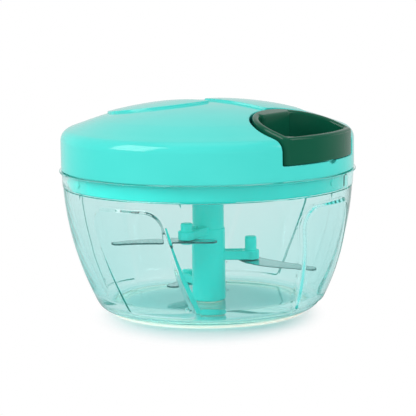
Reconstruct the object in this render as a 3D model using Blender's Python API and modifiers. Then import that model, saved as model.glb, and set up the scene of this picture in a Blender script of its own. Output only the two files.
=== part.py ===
"""Pull-cord vegetable chopper, built as separate named pieces.

The origin is on the chopper's axis, at the surface it stands on. +Z is up and the pull handle
points along +X. Lengths are written in millimetres and turned into metres by MM. Angles about
the axis are in degrees, anticlockwise seen from above.
"""
import bpy
import bmesh
import math
from mathutils import Matrix, Vector

MM = 0.001
GAP = 0.3 * MM            # clearance between pieces that seat on each other

# How finely round forms are divided
ROUND_LARGE = 64          # bowl and lid
ROUND_MEDIUM = 32         # reel and clutch
ROUND_SMALL = 20          # pins, screws, pegs

# Bowl
BOWL_WALL = 2.0 * MM
BOWL_FLOOR = 2.0 * MM
BOWL_FLOOR_UNDERSIDE = 1.4 * MM
BOWL_CORNER_RADIUS = 6.6 * MM
BOWL_CORNER_CENTRE = 41.5 * MM     # distance from the axis
BOWL_CORNER_END = -25.0            # degrees, where the corner turns into the wall
BOWL_SIDE_RADIUS = 124.8 * MM      # the wall's outward curve
BOWL_SHOULDER_RADIUS = 60.9 * MM   # under the collar
COLLAR_HEIGHT = 7.4 * MM
COLLAR_STEP = 0.25 * MM
COLLAR_TAPER = 0.35 * MM
COLLAR_WALL = 2.05 * MM            # at the collar's foot
RIM_LIP_HEIGHT = 0.7 * MM
RIM_LIP_PROUD = 0.9 * MM
FOOT_INSET = 0.1 * MM              # from where the corner starts
FOOT_WIDTH = 3.0 * MM
PIN_BOSS_RADIUS = 6.0 * MM
PIN_BOSS_DROP = 0.8 * MM
PIN_SEAT_FLOOR = 0.8 * MM           # left under the pin's blind hole

# Finger grips sunk in the bowl's wall
GRIP_COUNT = 4
GRIP_DIRECTION = 7.5               # degrees, the first grip's middle
GRIP_DEPTH = 1.0 * MM
GRIP_BELOW_COLLAR = 3.1 * MM
GRIP_BOTTOM = 5.0 * MM
GRIP_TOP_LEFT = -23.9 * MM         # sideways from the grip's middle, seen from outside
GRIP_TOP_RIGHT = 12.5 * MM
GRIP_BOTTOM_LEFT = -10.8 * MM
GRIP_BOTTOM_RIGHT = 20.4 * MM
GRIP_CORNER = 8.0 * MM
GRIP_FOOT_CORNER = 3.0 * MM

# Bayonet between bowl and lid
BAYONET_COUNT = 3
BAYONET_DIRECTION = 5.5            # degrees, the first tab
BAYONET_ENTRY_HALF = 9.2           # degrees, half the width of the open entry
BAYONET_TURN = 18.0                # degrees from entry to locked
BAYONET_DEPTH = 1.1 * MM
TAB_PROUD = 0.8 * MM
TAB_WIDTH = 4.3 * MM
TAB_HEIGHT = 3.4 * MM
TAB_DROP = 3.2 * MM                 # middle of the tab below the lid's edge
GROOVE_SPARE = 0.5 * MM            # above and below the tab in its groove

# Lid
LID_OVERHANG = 0.5 * MM            # past the collar's outer side
LID_LOW = 61.0 * MM
LID_WALL = 2.0 * MM
DOME_ROOM = 6.4 * MM               # between the spring cover and the dome
DOME_RADIUS = 172.0 * MM
SHOULDER_RADIUS = 5.55 * MM
LEAF_PROUD = 0.9 * MM              # raised leaves on the dome
LEAF_RADIUS = 23.0 * MM
LEAF_MIDDLE_X = -20.0 * MM
LEAF_MIDDLE_Y = -4.0 * MM
LEAF_INNER_EDGE = -2.9 * MM
LEAF_INNER_SAG = 0.9 * MM

# Lid base, the plate under the cover
SKIRT_WALL = 1.8 * MM
SKIRT_BELOW_PLATE = 1.2 * MM
PLATE_DROP = 5.8 * MM               # underside below the lid's edge
PLATE_THICKNESS = 2.0 * MM
FLANGE_HEIGHT = 2.0 * MM
HUB_DEPTH = 8.2 * MM               # below the plate's underside
HUB_WALL = 2.5 * MM

# Lid screws
SCREW_DIRECTIONS = (60.0, 150.0, 210.0, 300.0)
SCREW_INSET = 9.0 * MM             # from the cover's wall
SCREW_HEAD_RADIUS = 2.7 * MM
SCREW_HEAD_HEIGHT = 1.5 * MM
SCREW_SHANK_RADIUS = 1.2 * MM
SCREW_LENGTH = 11.0 * MM
BOSS_RADIUS = 3.6 * MM

# Pull handle
HANDLE_BELOW_CORD = 8.7 * MM
HANDLE_HALF_WIDTH = 23.5 * MM
HANDLE_STRAIGHT = 11.9 * MM        # from the face to where the round end starts
HANDLE_ROUND_DEPTH = 20.1 * MM     # length of the round end
HANDLE_CORNER = 3.0 * MM
HANDLE_SIDE_WALL = 2.6 * MM
HANDLE_BAR = 3.3 * MM
HANDLE_END_WALL = 3.0 * MM
ANCHOR_THICKNESS = 6.4 * MM
ANCHOR_HALF_WIDTH = 10.0 * MM
HANDLE_CLEARANCE_SIDE = 1.4 * MM
HANDLE_CLEARANCE_END = 1.0 * MM
HANDLE_CLEARANCE_FACE = 0.1 * MM
POCKET_WALL = 1.6 * MM
THUMB_NOTCH_HALF = 3.6 * MM
THUMB_NOTCH_DEPTH = 1.3 * MM

# Pull cord
CORD_DIAMETER = 1.8 * MM
CORD_LOOP_GAP = 0.45 * MM
CORD_TURNS = 5
CORD_LAST_TURN = 0.25             # of a turn, before the full ones
CORD_BEND_REACH = 2.0 * MM         # either side of the bend, where it starts to curve
KNOT_RADIUS = 1.7 * MM
GUIDE_BORE_RADIUS = 1.4 * MM
GUIDE_OUTER_RADIUS = 3.0 * MM
GUIDE_FLANGE_RADIUS = 4.2 * MM
GUIDE_FLANGE = 1.0 * MM

# Reel
REEL_TO_GUIDE = 2.0 * MM
DRUM_WALL = 2.0 * MM
REEL_FLANGE_DEPTH = 5.0 * MM       # past the drum
REEL_FLANGE = 1.2 * MM
REEL_CLEARANCE = 0.6 * MM          # over the coupler's cup
GROOVE_ROOM = 0.8 * MM             # over and under the winding
REEL_WEB = 3.0 * MM
SPRING_COVER_THICKNESS = 1.2 * MM
SPRING_COVER_OVERLAP = 2.0 * MM    # onto the reel's flange

# Return spring
SPRING_STRIP = 0.5 * MM
SPRING_HEIGHT = 11.0 * MM
SPRING_TURNS = 5
SPRING_POINTS_PER_TURN = 16

# Axle and clutch
AXLE_RADIUS = 3.0 * MM
COUPLER_RADIUS = 9.0 * MM
COUPLER_BELOW_HUB = 0.5 * MM
COUPLER_FLANGE_RADIUS = 15.0 * MM
COUPLER_FLANGE = 1.4 * MM
COUPLER_CUP_WALL = 1.5 * MM
COUPLER_CUP_HEIGHT = 2.3 * MM
COUPLER_WEB = 2.0 * MM
DOG_COUNT = 6
DOG_LENGTH = 1.8 * MM
DOG_WIDTH = 2.4 * MM
TONGUE_COUNT = 3
TONGUE_WIDTH = 1.4 * MM
TONGUE_SWEEP = 100.0               # degrees from hub to tip
TONGUE_SPARE = 3.0                 # degrees left before a dog
CLUTCH_HUB_RADIUS = 6.0 * MM
AXLE_SCREW_HEAD_RADIUS = 4.3 * MM
AXLE_SCREW_HEAD = 1.3 * MM
AXLE_SCREW_SHANK_RADIUS = 1.2 * MM
AXLE_SCREW_SHANK = 6.0 * MM
WASHER_THICKNESS = 0.6 * MM
AXLE_TOP_ROOM = 1.5 * MM

# Blade shaft
SHAFT_LOW = 4.0 * MM
SLEEVE_RADIUS = 7.1 * MM
SLEEVE_TOP = 33.0 * MM
SLEEVE_WALL = 0.4 * MM             # over the tube it is drawn down to
HEX_RADIUS = 5.6 * MM              # to its corners
HEX_HEAD = 7.6 * MM
HEX_ROOT = 2.0 * MM                # of the head, inside the tube
SHAFT_FOOT_ROUND = 2.5 * MM
PIN_RADIUS = 2.5 * MM
PIN_HEIGHT = 22.0 * MM
PIN_CHAMFER = 0.6 * MM

# Blades, highest first
UPPER_BLADE_LEVEL = 31.0 * MM
MIDDLE_BLADE_LEVEL = 19.8 * MM
LOWER_BLADE_LEVEL = 7.6 * MM
BLADE_NAMES = ("blade_upper", "blade_middle", "blade_lower")
FIRST_ARM_DIRECTION = -82.5
ARM_STEP = 120.0
PEG_DISTANCE = 18.0 * MM
PEG_RADIUS = 2.5 * MM
PEG_HEIGHT = 7.4 * MM
PEG_ROOT = 1.0 * MM                # of peg and rivet, inside the arm
PAD_RADIUS = 3.6 * MM
ARM_THICKNESS = 3.5 * MM
ARM_BAR = 1.8 * MM
ARM_SPREAD = 2.6 * MM
RIVET_RADIUS = 1.5 * MM
RIVET_HEAD_RADIUS = 2.7 * MM
RIVET_HEAD = 0.7 * MM
BLADE_THICKNESS = 0.6 * MM
BLADE_TAIL = 10.0 * MM
BLADE_CLEARANCE = 2.1 * MM         # from tip to the bowl's corner
BLADE_START_ANGLE = -76.0          # degrees from the arm's direction
BLADE_END_ANGLE = -32.0
BLADE_TAIL_WIDTH = 6.0 * MM
BLADE_MIDDLE_WIDTH = 10.5 * MM
BLADE_TIP_WIDTH = 5.0 * MM
BLADE_STATIONS = 12

# Sizes that follow from the ones above: the bowl and what stands in it
BOWL_RIM = LID_LOW - GAP
COLLAR_LOW = LID_LOW - COLLAR_HEIGHT
COLLAR_OUTER_RADIUS = BOWL_SHOULDER_RADIUS + COLLAR_STEP
COLLAR_INNER_RADIUS = COLLAR_OUTER_RADIUS - COLLAR_WALL
FLOOR_TOP = BOWL_FLOOR_UNDERSIDE + BOWL_FLOOR
FOOT_RADIUS = BOWL_CORNER_CENTRE - FOOT_INSET
GRIP_TOP = COLLAR_LOW - GRIP_BELOW_COLLAR
PIN_FOOT = BOWL_FLOOR_UNDERSIDE - PIN_BOSS_DROP + PIN_SEAT_FLOOR + GAP
TUBE_RADIUS = SLEEVE_RADIUS - SLEEVE_WALL
BLADE_LEVELS = (UPPER_BLADE_LEVEL, MIDDLE_BLADE_LEVEL, LOWER_BLADE_LEVEL)
TIP_RADIUS = BOWL_CORNER_CENTRE + BOWL_CORNER_RADIUS - BOWL_WALL - BLADE_CLEARANCE

# The lid's base, the coupler and the clutch
SKIRT_RADIUS = COLLAR_INNER_RADIUS - GAP
TAB_MIDDLE = LID_LOW - TAB_DROP
TAB_RADIUS = SKIRT_RADIUS + TAB_PROUD
GROOVE_RADIUS = COLLAR_INNER_RADIUS + BAYONET_DEPTH
PLATE_LOW = LID_LOW - PLATE_DROP
PLATE_TOP = PLATE_LOW + PLATE_THICKNESS
SKIRT_LOW = PLATE_LOW - SKIRT_BELOW_PLATE
HUB_LOW = PLATE_LOW - HUB_DEPTH
HUB_INNER_RADIUS = COUPLER_RADIUS + GAP
HUB_RADIUS = HUB_INNER_RADIUS + HUB_WALL
COUPLER_LOW = HUB_LOW - COUPLER_BELOW_HUB
COUPLER_FLANGE_LOW = PLATE_TOP + GAP
COUPLER_FLANGE_TOP = COUPLER_FLANGE_LOW + COUPLER_FLANGE
COUPLER_CUP_TOP = COUPLER_FLANGE_TOP + COUPLER_CUP_HEIGHT
SOCKET_CEILING = COUPLER_FLANGE_TOP - COUPLER_WEB
HEX_LOW = COUPLER_LOW - GAP
AXLE_LOW = SOCKET_CEILING
AXLE_BORE_RADIUS = AXLE_RADIUS + GAP

# The lid's cover, the handle in its pocket and the guide behind it
LID_RADIUS = COLLAR_OUTER_RADIUS + COLLAR_TAPER + LID_OVERHANG
LID_INNER_RADIUS = LID_RADIUS - LID_WALL
SCREW_CIRCLE = LID_INNER_RADIUS - SCREW_INSET
LEAF_MIDDLE = (LEAF_MIDDLE_X, LEAF_MIDDLE_Y)
HANDLE_RADIUS = LID_RADIUS - HANDLE_CLEARANCE_FACE
HANDLE_ROUND_START = HANDLE_RADIUS - HANDLE_STRAIGHT
HANDLE_INNER_END = HANDLE_ROUND_START - HANDLE_ROUND_DEPTH
POCKET_HALF_WIDTH = HANDLE_HALF_WIDTH + HANDLE_CLEARANCE_SIDE
POCKET_DEPTH = HANDLE_ROUND_DEPTH + HANDLE_CLEARANCE_END
POCKET_END = HANDLE_ROUND_START - POCKET_DEPTH
GUIDE_NEAR = POCKET_END - POCKET_WALL - GAP - GUIDE_FLANGE

# The reel, its winding and the heights that they set
CORD_RADIUS = CORD_DIAMETER / 2
CORD_PITCH = CORD_DIAMETER + CORD_LOOP_GAP
REEL_FLANGE_RADIUS = GUIDE_NEAR - REEL_TO_GUIDE
DRUM_RADIUS = REEL_FLANGE_RADIUS - REEL_FLANGE_DEPTH
WINDING_RADIUS = DRUM_RADIUS + GAP + CORD_RADIUS
WINDING_REACH = WINDING_RADIUS + CORD_RADIUS + GAP
SPRING_COVER_RADIUS = DRUM_RADIUS + SPRING_COVER_OVERLAP
REEL_LOW = COUPLER_CUP_TOP + REEL_CLEARANCE
REEL_GROOVE_LOW = REEL_LOW + REEL_FLANGE
GROOVE_HEIGHT = CORD_PITCH * (CORD_TURNS + CORD_LAST_TURN) + CORD_DIAMETER + GROOVE_ROOM
REEL_GROOVE_TOP = REEL_GROOVE_LOW + GROOVE_HEIGHT
REEL_TOP = REEL_GROOVE_TOP + REEL_FLANGE
CORD_LEVEL = REEL_GROOVE_TOP - GAP - CORD_RADIUS
SPRING_COVER_TOP = REEL_TOP + GAP + SPRING_COVER_THICKNESS
COVER_BOSS_LOW = SPRING_COVER_TOP + GAP
LID_APEX = SPRING_COVER_TOP + DOME_ROOM + LID_WALL
AXLE_TOP = LID_APEX - LID_WALL - AXLE_TOP_ROOM
HANDLE_LOW = CORD_LEVEL - HANDLE_BELOW_CORD
POCKET_FLOOR = HANDLE_LOW - GAP
FAR = 2 * LID_RADIUS               # reach of cutters that pass right through


def clear_scene():
    for thing in list(bpy.data.objects):
        bpy.data.objects.remove(thing, do_unlink=True)


def new_collection(name):
    group = bpy.data.collections.new(name)
    bpy.context.scene.collection.children.link(group)
    return group


clear_scene()
PARTS = new_collection("vegetable_chopper")
CUTTERS = new_collection("cutters")


def material(name, colour, roughness, metallic=0.0, alpha=1.0):
    made = bpy.data.materials.new(name)
    made.use_nodes = True
    shader = made.node_tree.nodes["Principled BSDF"]
    shader.inputs["Base Color"].default_value = (*colour, 1.0)
    shader.inputs["Roughness"].default_value = roughness
    shader.inputs["Metallic"].default_value = metallic
    shader.inputs["Alpha"].default_value = alpha
    return made


AQUA = material("aqua_gloss_plastic", (0.09, 0.74, 0.64), 0.25)
CLEAR = material("clear_green_plastic", (0.55, 0.88, 0.84), 0.08, alpha=0.35)
DARK_GREEN = material("dark_green_plastic", (0.01, 0.09, 0.06), 0.3)
STEEL = material("blade_steel", (0.62, 0.64, 0.64), 0.25, metallic=1.0)
PIN_STEEL = material("pin_steel", (0.55, 0.56, 0.57), 0.35, metallic=1.0)
SPRING_STEEL = material("spring_steel", (0.3, 0.32, 0.36), 0.3, metallic=1.0)
WHITE = material("white_nylon", (0.82, 0.82, 0.8), 0.45)
CORD = material("cord_nylon", (0.75, 0.78, 0.76), 0.8)


def direction(angle):
    """Unit vector in the ground plane at an angle in degrees."""
    return Vector((math.cos(math.radians(angle)), math.sin(math.radians(angle)), 0.0))


def arc(centre_x, centre_y, radius, start, end, count):
    """Points along a circle from one angle to another, in degrees."""
    points = []
    for index in range(count + 1):
        turn = math.radians(start + (end - start) * index / count)
        points.append((centre_x + radius * math.cos(turn), centre_y + radius * math.sin(turn)))
    return points


def bulged(start, end, radius, count):
    """Points from start to end along an arc that bulges to the right of the way it runs."""
    a = Vector(start)
    b = Vector(end)
    half = (b - a) / 2
    right = Vector((half.y, -half.x)).normalized()
    middle = a + half - right * math.sqrt(radius ** 2 - half.length ** 2)
    first = a - middle
    sweep = 2 * math.asin(half.length / radius)
    points = []
    for index in range(count + 1):
        spun = Matrix.Rotation(sweep * index / count, 2) @ first
        points.append(tuple(middle + spun))
    return points


def add_object(name, mesh, finish, group=None):
    made = bpy.data.objects.new(name, mesh)
    (group or PARTS).objects.link(made)
    if finish:
        mesh.materials.append(finish)
    if (group or PARTS) is CUTTERS:
        made.hide_render = True
        made.display_type = "WIRE"
    return made


def turned(name, profile, finish=None, steps=ROUND_LARGE, closed=True, group=None):
    """A solid of revolution about Z. The profile runs down its outer side first."""
    mesh = bpy.data.meshes.new(name)
    edges = [(i, i + 1) for i in range(len(profile) - 1)]
    if closed:
        edges.append((len(profile) - 1, 0))
    mesh.from_pydata([(r, 0.0, z) for r, z in profile], edges, [])
    made = add_object(name, mesh, finish, group)
    screw = made.modifiers.new("turn", "SCREW")
    screw.axis = "Z"
    screw.angle = math.tau
    screw.steps = steps
    screw.render_steps = steps
    screw.use_merge_vertices = True
    screw.merge_threshold = 0.00001
    screw.use_smooth_shade = False
    return made


def rod(name, low, high, radius, finish=None, steps=ROUND_SMALL, group=None, at=(0.0, 0.0)):
    """An upright cylinder between two heights."""
    mesh = bpy.data.meshes.new(name)
    shape = bmesh.new()
    bmesh.ops.create_cone(shape, cap_ends=True, segments=steps, radius1=radius, radius2=radius,
                          depth=high - low)
    bmesh.ops.translate(shape, verts=shape.verts, vec=(0.0, 0.0, (high + low) / 2))
    shape.to_mesh(mesh)
    shape.free()
    made = add_object(name, mesh, finish, group)
    made.location = (at[0], at[1], 0.0)
    return made


def block(name, low, high, finish=None, group=None):
    """A box between two corners, its mesh in place."""
    mesh = bpy.data.meshes.new(name)
    shape = bmesh.new()
    size = Vector(high) - Vector(low)
    middle = (Vector(high) + Vector(low)) / 2
    bmesh.ops.create_cube(shape, size=1.0)
    bmesh.ops.scale(shape, verts=shape.verts, vec=size)
    bmesh.ops.translate(shape, verts=shape.verts, vec=middle)
    shape.to_mesh(mesh)
    shape.free()
    return add_object(name, mesh, finish, group)


def outline_solid(name, outlines, thickness, finish=None, group=None):
    """Flat outlines filled and thickened along local Z, centred on it, as a mesh object."""
    curve = bpy.data.curves.new(name + "_outline", "CURVE")
    curve.dimensions = "2D"
    curve.fill_mode = "BOTH"
    curve.extrude = thickness / 2
    curve.render_resolution_u = 0
    for points in outlines:
        spline = curve.splines.new("POLY")
        spline.points.add(len(points) - 1)
        for slot, (x, y) in zip(spline.points, points):
            slot.co = (x, y, 0.0, 1.0)
        spline.use_cyclic_u = True
    guide = bpy.data.objects.new(name + "_outline", curve)
    CUTTERS.objects.link(guide)
    bpy.context.view_layer.update()
    mesh = bpy.data.meshes.new_from_object(guide.evaluated_get(bpy.context.evaluated_depsgraph_get()))
    bpy.data.objects.remove(guide, do_unlink=True)
    shape = bmesh.new()
    shape.from_mesh(mesh)
    bmesh.ops.remove_doubles(shape, verts=shape.verts, dist=0.000001)
    bmesh.ops.recalc_face_normals(shape, faces=shape.faces)
    shape.to_mesh(mesh)
    shape.free()
    mesh.materials.clear()
    mesh.name = name
    return add_object(name, mesh, finish, group)


def plate(name, outlines, low, high, finish=None, group=None):
    """Flat outlines in plan, solid between two heights."""
    made = outline_solid(name, outlines, high - low, finish, group)
    made.location = (0.0, 0.0, (low + high) / 2)
    return made


def wall_cutter(name, outline, angle, near, far):
    """An outline drawn on the wall at an angle, solid from one distance off the axis to another."""
    made = outline_solid(name, [outline], far - near, group=CUTTERS)
    out = direction(angle)
    along = Vector((-out.y, out.x, 0.0))
    up = Vector((0.0, 0.0, 1.0))
    turn = Matrix((along, up, out)).transposed().to_4x4()
    made.matrix_world = Matrix.Translation(out * (near + far) / 2) @ turn
    return made


def combine(target, other, operation):
    """Boolean with an object that then stays as a hidden cutter."""
    if other.name not in CUTTERS.objects:
        PARTS.objects.unlink(other)
        CUTTERS.objects.link(other)
    other.hide_render = True
    other.display_type = "WIRE"
    step = target.modifiers.new(operation.lower() + "_" + other.name, "BOOLEAN")
    step.operation = operation
    step.solver = "EXACT"
    step.object = other


def cut(target, *others):
    for other in others:
        combine(target, other, "DIFFERENCE")


def join(target, *others):
    for other in others:
        combine(target, other, "UNION")


def keep_inside(target, other):
    combine(target, other, "INTERSECT")


def smooth(thing, angle=35.0):
    thing.data.shade_smooth()
    thing.data.set_sharp_from_angle(angle=math.radians(angle))


def tube(name, points, radius, finish, sides=2):
    """A round cord or wire along points, as a curve with filled ends."""
    curve = bpy.data.curves.new(name, "CURVE")
    curve.dimensions = "3D"
    curve.bevel_depth = radius
    curve.bevel_resolution = sides
    curve.use_fill_caps = True
    curve.render_resolution_u = 0
    spline = curve.splines.new("POLY")
    spline.points.add(len(points) - 1)
    for slot, point in zip(spline.points, points):
        slot.co = (*point, 1.0)
    made = bpy.data.objects.new(name, curve)
    PARTS.objects.link(made)
    curve.materials.append(finish)
    return made


def joint_axis(name, at):
    """An empty on a joint's axis, which its moving pieces are parented to."""
    marker = bpy.data.objects.new(name, None)
    marker.empty_display_size = 10 * MM
    PARTS.objects.link(marker)
    marker.location = at
    return marker


# The bowl

def bowl_corner(shrink):
    """The rounded corner between the underside and the wall, moved inward by shrink."""
    centre_z = BOWL_FLOOR_UNDERSIDE + BOWL_CORNER_RADIUS
    return arc(BOWL_CORNER_CENTRE, centre_z, BOWL_CORNER_RADIUS - shrink, -90.0, BOWL_CORNER_END, 3)


def bowl_side(shrink, count):
    """The wall from the corner up to the collar, moved inward by shrink."""
    low = bowl_corner(shrink)[-1]
    return bulged(low, (BOWL_SHOULDER_RADIUS - shrink, COLLAR_LOW), BOWL_SIDE_RADIUS, count)


def bowl_outside(shrink):
    """Outer form from the collar down to the underside."""
    return bowl_side(shrink, 6)[::-1] + bowl_corner(shrink)[::-1][1:]


def grip_outline():
    """One slanted finger grip: straight sides, rounded corners, drawn on the wall."""
    corners = ((GRIP_BOTTOM_LEFT, GRIP_BOTTOM, GRIP_FOOT_CORNER),
               (GRIP_BOTTOM_RIGHT, GRIP_BOTTOM, GRIP_FOOT_CORNER),
               (GRIP_TOP_RIGHT, GRIP_TOP, GRIP_CORNER),
               (GRIP_TOP_LEFT, GRIP_TOP, GRIP_CORNER))
    return rounded_outline(corners, 4)


def rounded_outline(corners, count):
    """A closed outline whose corners (x, y, radius) are rounded by arcs."""
    points = []
    total = len(corners)
    for index, (x, y, radius) in enumerate(corners):
        here = Vector((x, y))
        before = (Vector(corners[index - 1][:2]) - here).normalized()
        after = (Vector(corners[(index + 1) % total][:2]) - here).normalized()
        half = before.angle(after) / 2
        centre = here + (before + after).normalized() * radius / math.sin(half)
        first = here + before * radius / math.tan(half) - centre
        last = here + after * radius / math.tan(half) - centre
        sweep = first.angle_signed(last)
        for step in range(count + 1):
            spun = Matrix.Rotation(-sweep * step / count, 2) @ first
            points.append(tuple(centre + spun))
    return points


def make_bowl():
    """Bowl with its collar, foot ring, four finger grips and three bayonet pockets."""
    rim_radius = COLLAR_OUTER_RADIUS + COLLAR_TAPER
    lip_low = BOWL_RIM - RIM_LIP_HEIGHT
    inside = [(0.0, FLOOR_TOP)] + bowl_corner(BOWL_WALL) + bowl_side(BOWL_WALL, 5)[1:]
    inside += [(COLLAR_INNER_RADIUS, COLLAR_LOW), (COLLAR_INNER_RADIUS, BOWL_RIM)]
    rim = [(rim_radius + RIM_LIP_PROUD, BOWL_RIM), (rim_radius + RIM_LIP_PROUD, lip_low),
           (rim_radius, lip_low), (COLLAR_OUTER_RADIUS, COLLAR_LOW)]
    foot = [(FOOT_RADIUS, BOWL_FLOOR_UNDERSIDE), (FOOT_RADIUS, 0.0),
            (FOOT_RADIUS - FOOT_WIDTH, 0.0), (FOOT_RADIUS - FOOT_WIDTH, BOWL_FLOOR_UNDERSIDE)]
    boss = [(PIN_BOSS_RADIUS, BOWL_FLOOR_UNDERSIDE),
            (PIN_BOSS_RADIUS, BOWL_FLOOR_UNDERSIDE - PIN_BOSS_DROP),
            (0.0, BOWL_FLOOR_UNDERSIDE - PIN_BOSS_DROP)]
    bowl = turned("bowl", inside + rim + bowl_outside(0.0) + foot + boss, CLEAR, closed=False)
    core = turned("grip_core", [(0.0, FAR), (BOWL_SHOULDER_RADIUS - GRIP_DEPTH, FAR)]
                  + bowl_outside(GRIP_DEPTH) + [(0.0, BOWL_FLOOR_UNDERSIDE + GRIP_DEPTH)],
                  closed=False, group=CUTTERS)
    for index in range(GRIP_COUNT):
        angle = GRIP_DIRECTION + 360.0 * index / GRIP_COUNT
        grip = wall_cutter("grip_cut_%d" % (index + 1), grip_outline(), angle,
                           BOWL_CORNER_CENTRE / 2, FAR)
        cut(grip, core)
        cut(bowl, grip)
    for index in range(BAYONET_COUNT):
        cut(bowl, *bayonet_cutters(index))
    cut(bowl, rod("pin_hole", PIN_FOOT - GAP, FAR, PIN_RADIUS + GAP, group=CUTTERS))
    smooth(bowl)
    return bowl


def bayonet_cutters(index):
    """The open entry and the locking groove for one of the lid's tabs."""
    middle = BAYONET_DIRECTION + 360.0 * index / BAYONET_COUNT
    groove_half = TAB_HEIGHT / 2 + GROOVE_SPARE
    start = middle - BAYONET_ENTRY_HALF - BAYONET_TURN
    entry = ring_part("entry_%d" % (index + 1), SKIRT_RADIUS, GROOVE_RADIUS,
                      middle - BAYONET_ENTRY_HALF, middle + BAYONET_ENTRY_HALF,
                      TAB_MIDDLE - groove_half, FAR)
    groove = ring_part("groove_%d" % (index + 1), SKIRT_RADIUS, GROOVE_RADIUS,
                       start, middle, TAB_MIDDLE - groove_half, TAB_MIDDLE + groove_half)
    return entry, groove


def ring_part(name, inner, outer, start, end, low, high, finish=None, group=CUTTERS):
    """Part of a ring between two angles and two heights."""
    steps = max(2, round(abs(end - start) / 4.0))
    points = arc(0.0, 0.0, outer, start, end, steps) + arc(0.0, 0.0, inner, end, start, steps)
    return plate(name, [points], low, high, finish, group)


def make_pivot_pin():
    pin = rod("bowl_pivot_pin", PIN_FOOT, PIN_FOOT + PIN_HEIGHT, PIN_RADIUS, PIN_STEEL)
    add_bevel(pin, PIN_CHAMFER)
    smooth(pin)
    return pin


def add_bevel(thing, width, segments=1, angle=40.0):
    bevel = thing.modifiers.new("edges", "BEVEL")
    bevel.width = width
    bevel.segments = segments
    bevel.limit_method = "ANGLE"
    bevel.angle_limit = math.radians(angle)


# The blade shaft and its blades

def make_blade_shaft(axis):
    """Sleeve, tube and hexagonal head in one moulding, with three arms at different heights."""
    foot = arc(SLEEVE_RADIUS - SHAFT_FOOT_ROUND, SHAFT_LOW + SHAFT_FOOT_ROUND,
               SHAFT_FOOT_ROUND, 0.0, -90.0, 4)
    profile = [(0.0, HEX_LOW), (TUBE_RADIUS, HEX_LOW), (TUBE_RADIUS, SLEEVE_TOP),
               (SLEEVE_RADIUS, SLEEVE_TOP - GAP)] + foot + [(0.0, SHAFT_LOW)]
    shaft = turned("blade_shaft", profile, AQUA, steps=ROUND_MEDIUM, closed=False)
    head = rod("hex_head", HEX_LOW - HEX_ROOT, HEX_LOW + HEX_HEAD, HEX_RADIUS, steps=6, group=CUTTERS)
    join(shaft, head)
    for index, level in enumerate(BLADE_LEVELS):
        arm_angle = FIRST_ARM_DIRECTION + ARM_STEP * index
        for piece in arm_pieces(BLADE_NAMES[index], level, arm_angle):
            join(shaft, piece)
    cut(shaft, rod("shaft_bore", 0.0, PIN_FOOT + PIN_HEIGHT + GAP, PIN_RADIUS + GAP,
                   group=CUTTERS))
    smooth(shaft)
    hang(shaft, axis)
    return shaft


def arm_pieces(name, level, angle):
    """Two bars out to a pad, the peg on it and the rivet that holds the blade under it."""
    low = level + BLADE_THICKNESS + GAP
    high = low + ARM_THICKNESS
    pieces = []
    for side in (-1, 1):
        middle = side * ARM_SPREAD
        bar = block(name + "_bar", (SLEEVE_RADIUS * 0.6, middle - ARM_BAR / 2, low),
                    (PEG_DISTANCE, middle + ARM_BAR / 2, high), group=CUTTERS)
        bar.rotation_euler = (0.0, 0.0, math.radians(angle))
        pieces.append(bar)
    spot = direction(angle) * PEG_DISTANCE
    place = (spot.x, spot.y)
    pieces.append(rod(name + "_pad", low, high, PAD_RADIUS, group=CUTTERS, at=place))
    peg_top = level + PEG_HEIGHT + BLADE_THICKNESS
    pieces.append(rod(name + "_peg", high - PEG_ROOT, peg_top, PEG_RADIUS, group=CUTTERS, at=place))
    under = level - GAP
    pieces.append(rod(name + "_rivet", under - RIVET_HEAD / 2, low + PEG_ROOT, RIVET_RADIUS,
                      group=CUTTERS, at=place))
    pieces.append(rod(name + "_rivet_head", under - RIVET_HEAD, under, RIVET_HEAD_RADIUS,
                      group=CUTTERS, at=place))
    return pieces


def blade_reach():
    """Length of the blade's curve past the peg, so that its round tip clears the bowl."""
    start = math.radians(BLADE_START_ANGLE)
    end = math.radians(BLADE_END_ANGLE)
    across = (math.sin(end) - math.sin(start)) / (end - start)
    along = (math.cos(start) - math.cos(end)) / (end - start)
    straight = across ** 2 + along ** 2
    tip = TIP_RADIUS - BLADE_TIP_WIDTH / 2
    root = (PEG_DISTANCE * across) ** 2 + straight * (tip ** 2 - PEG_DISTANCE ** 2)
    return (math.sqrt(root) - PEG_DISTANCE * across) / straight


def blade_centre_line():
    """Points along the blade's middle from tail to tip, for an arm that points along +X."""
    reach = blade_reach()
    length = BLADE_TAIL + reach
    heading_start = math.radians(BLADE_START_ANGLE)
    spot = Vector((PEG_DISTANCE, 0.0)) - BLADE_TAIL * Vector((math.cos(heading_start),
                                                             math.sin(heading_start)))
    line = []
    for index in range(BLADE_STATIONS + 1):
        run = length * index / BLADE_STATIONS
        bend = max(0.0, (run - BLADE_TAIL) / reach)
        heading = math.radians(BLADE_START_ANGLE + (BLADE_END_ANGLE - BLADE_START_ANGLE) * bend)
        line.append((spot.copy(), heading, index / BLADE_STATIONS))
        spot += Vector((math.cos(heading), math.sin(heading))) * length / BLADE_STATIONS
    return line


def blade_half_width(share):
    """Half the blade's width at a share of its length from the tail."""
    end_width = BLADE_TAIL_WIDTH if share < 0.5 else BLADE_TIP_WIDTH
    width = end_width + (BLADE_MIDDLE_WIDTH - end_width) * math.sin(math.pi * share)
    return width / 2


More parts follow.
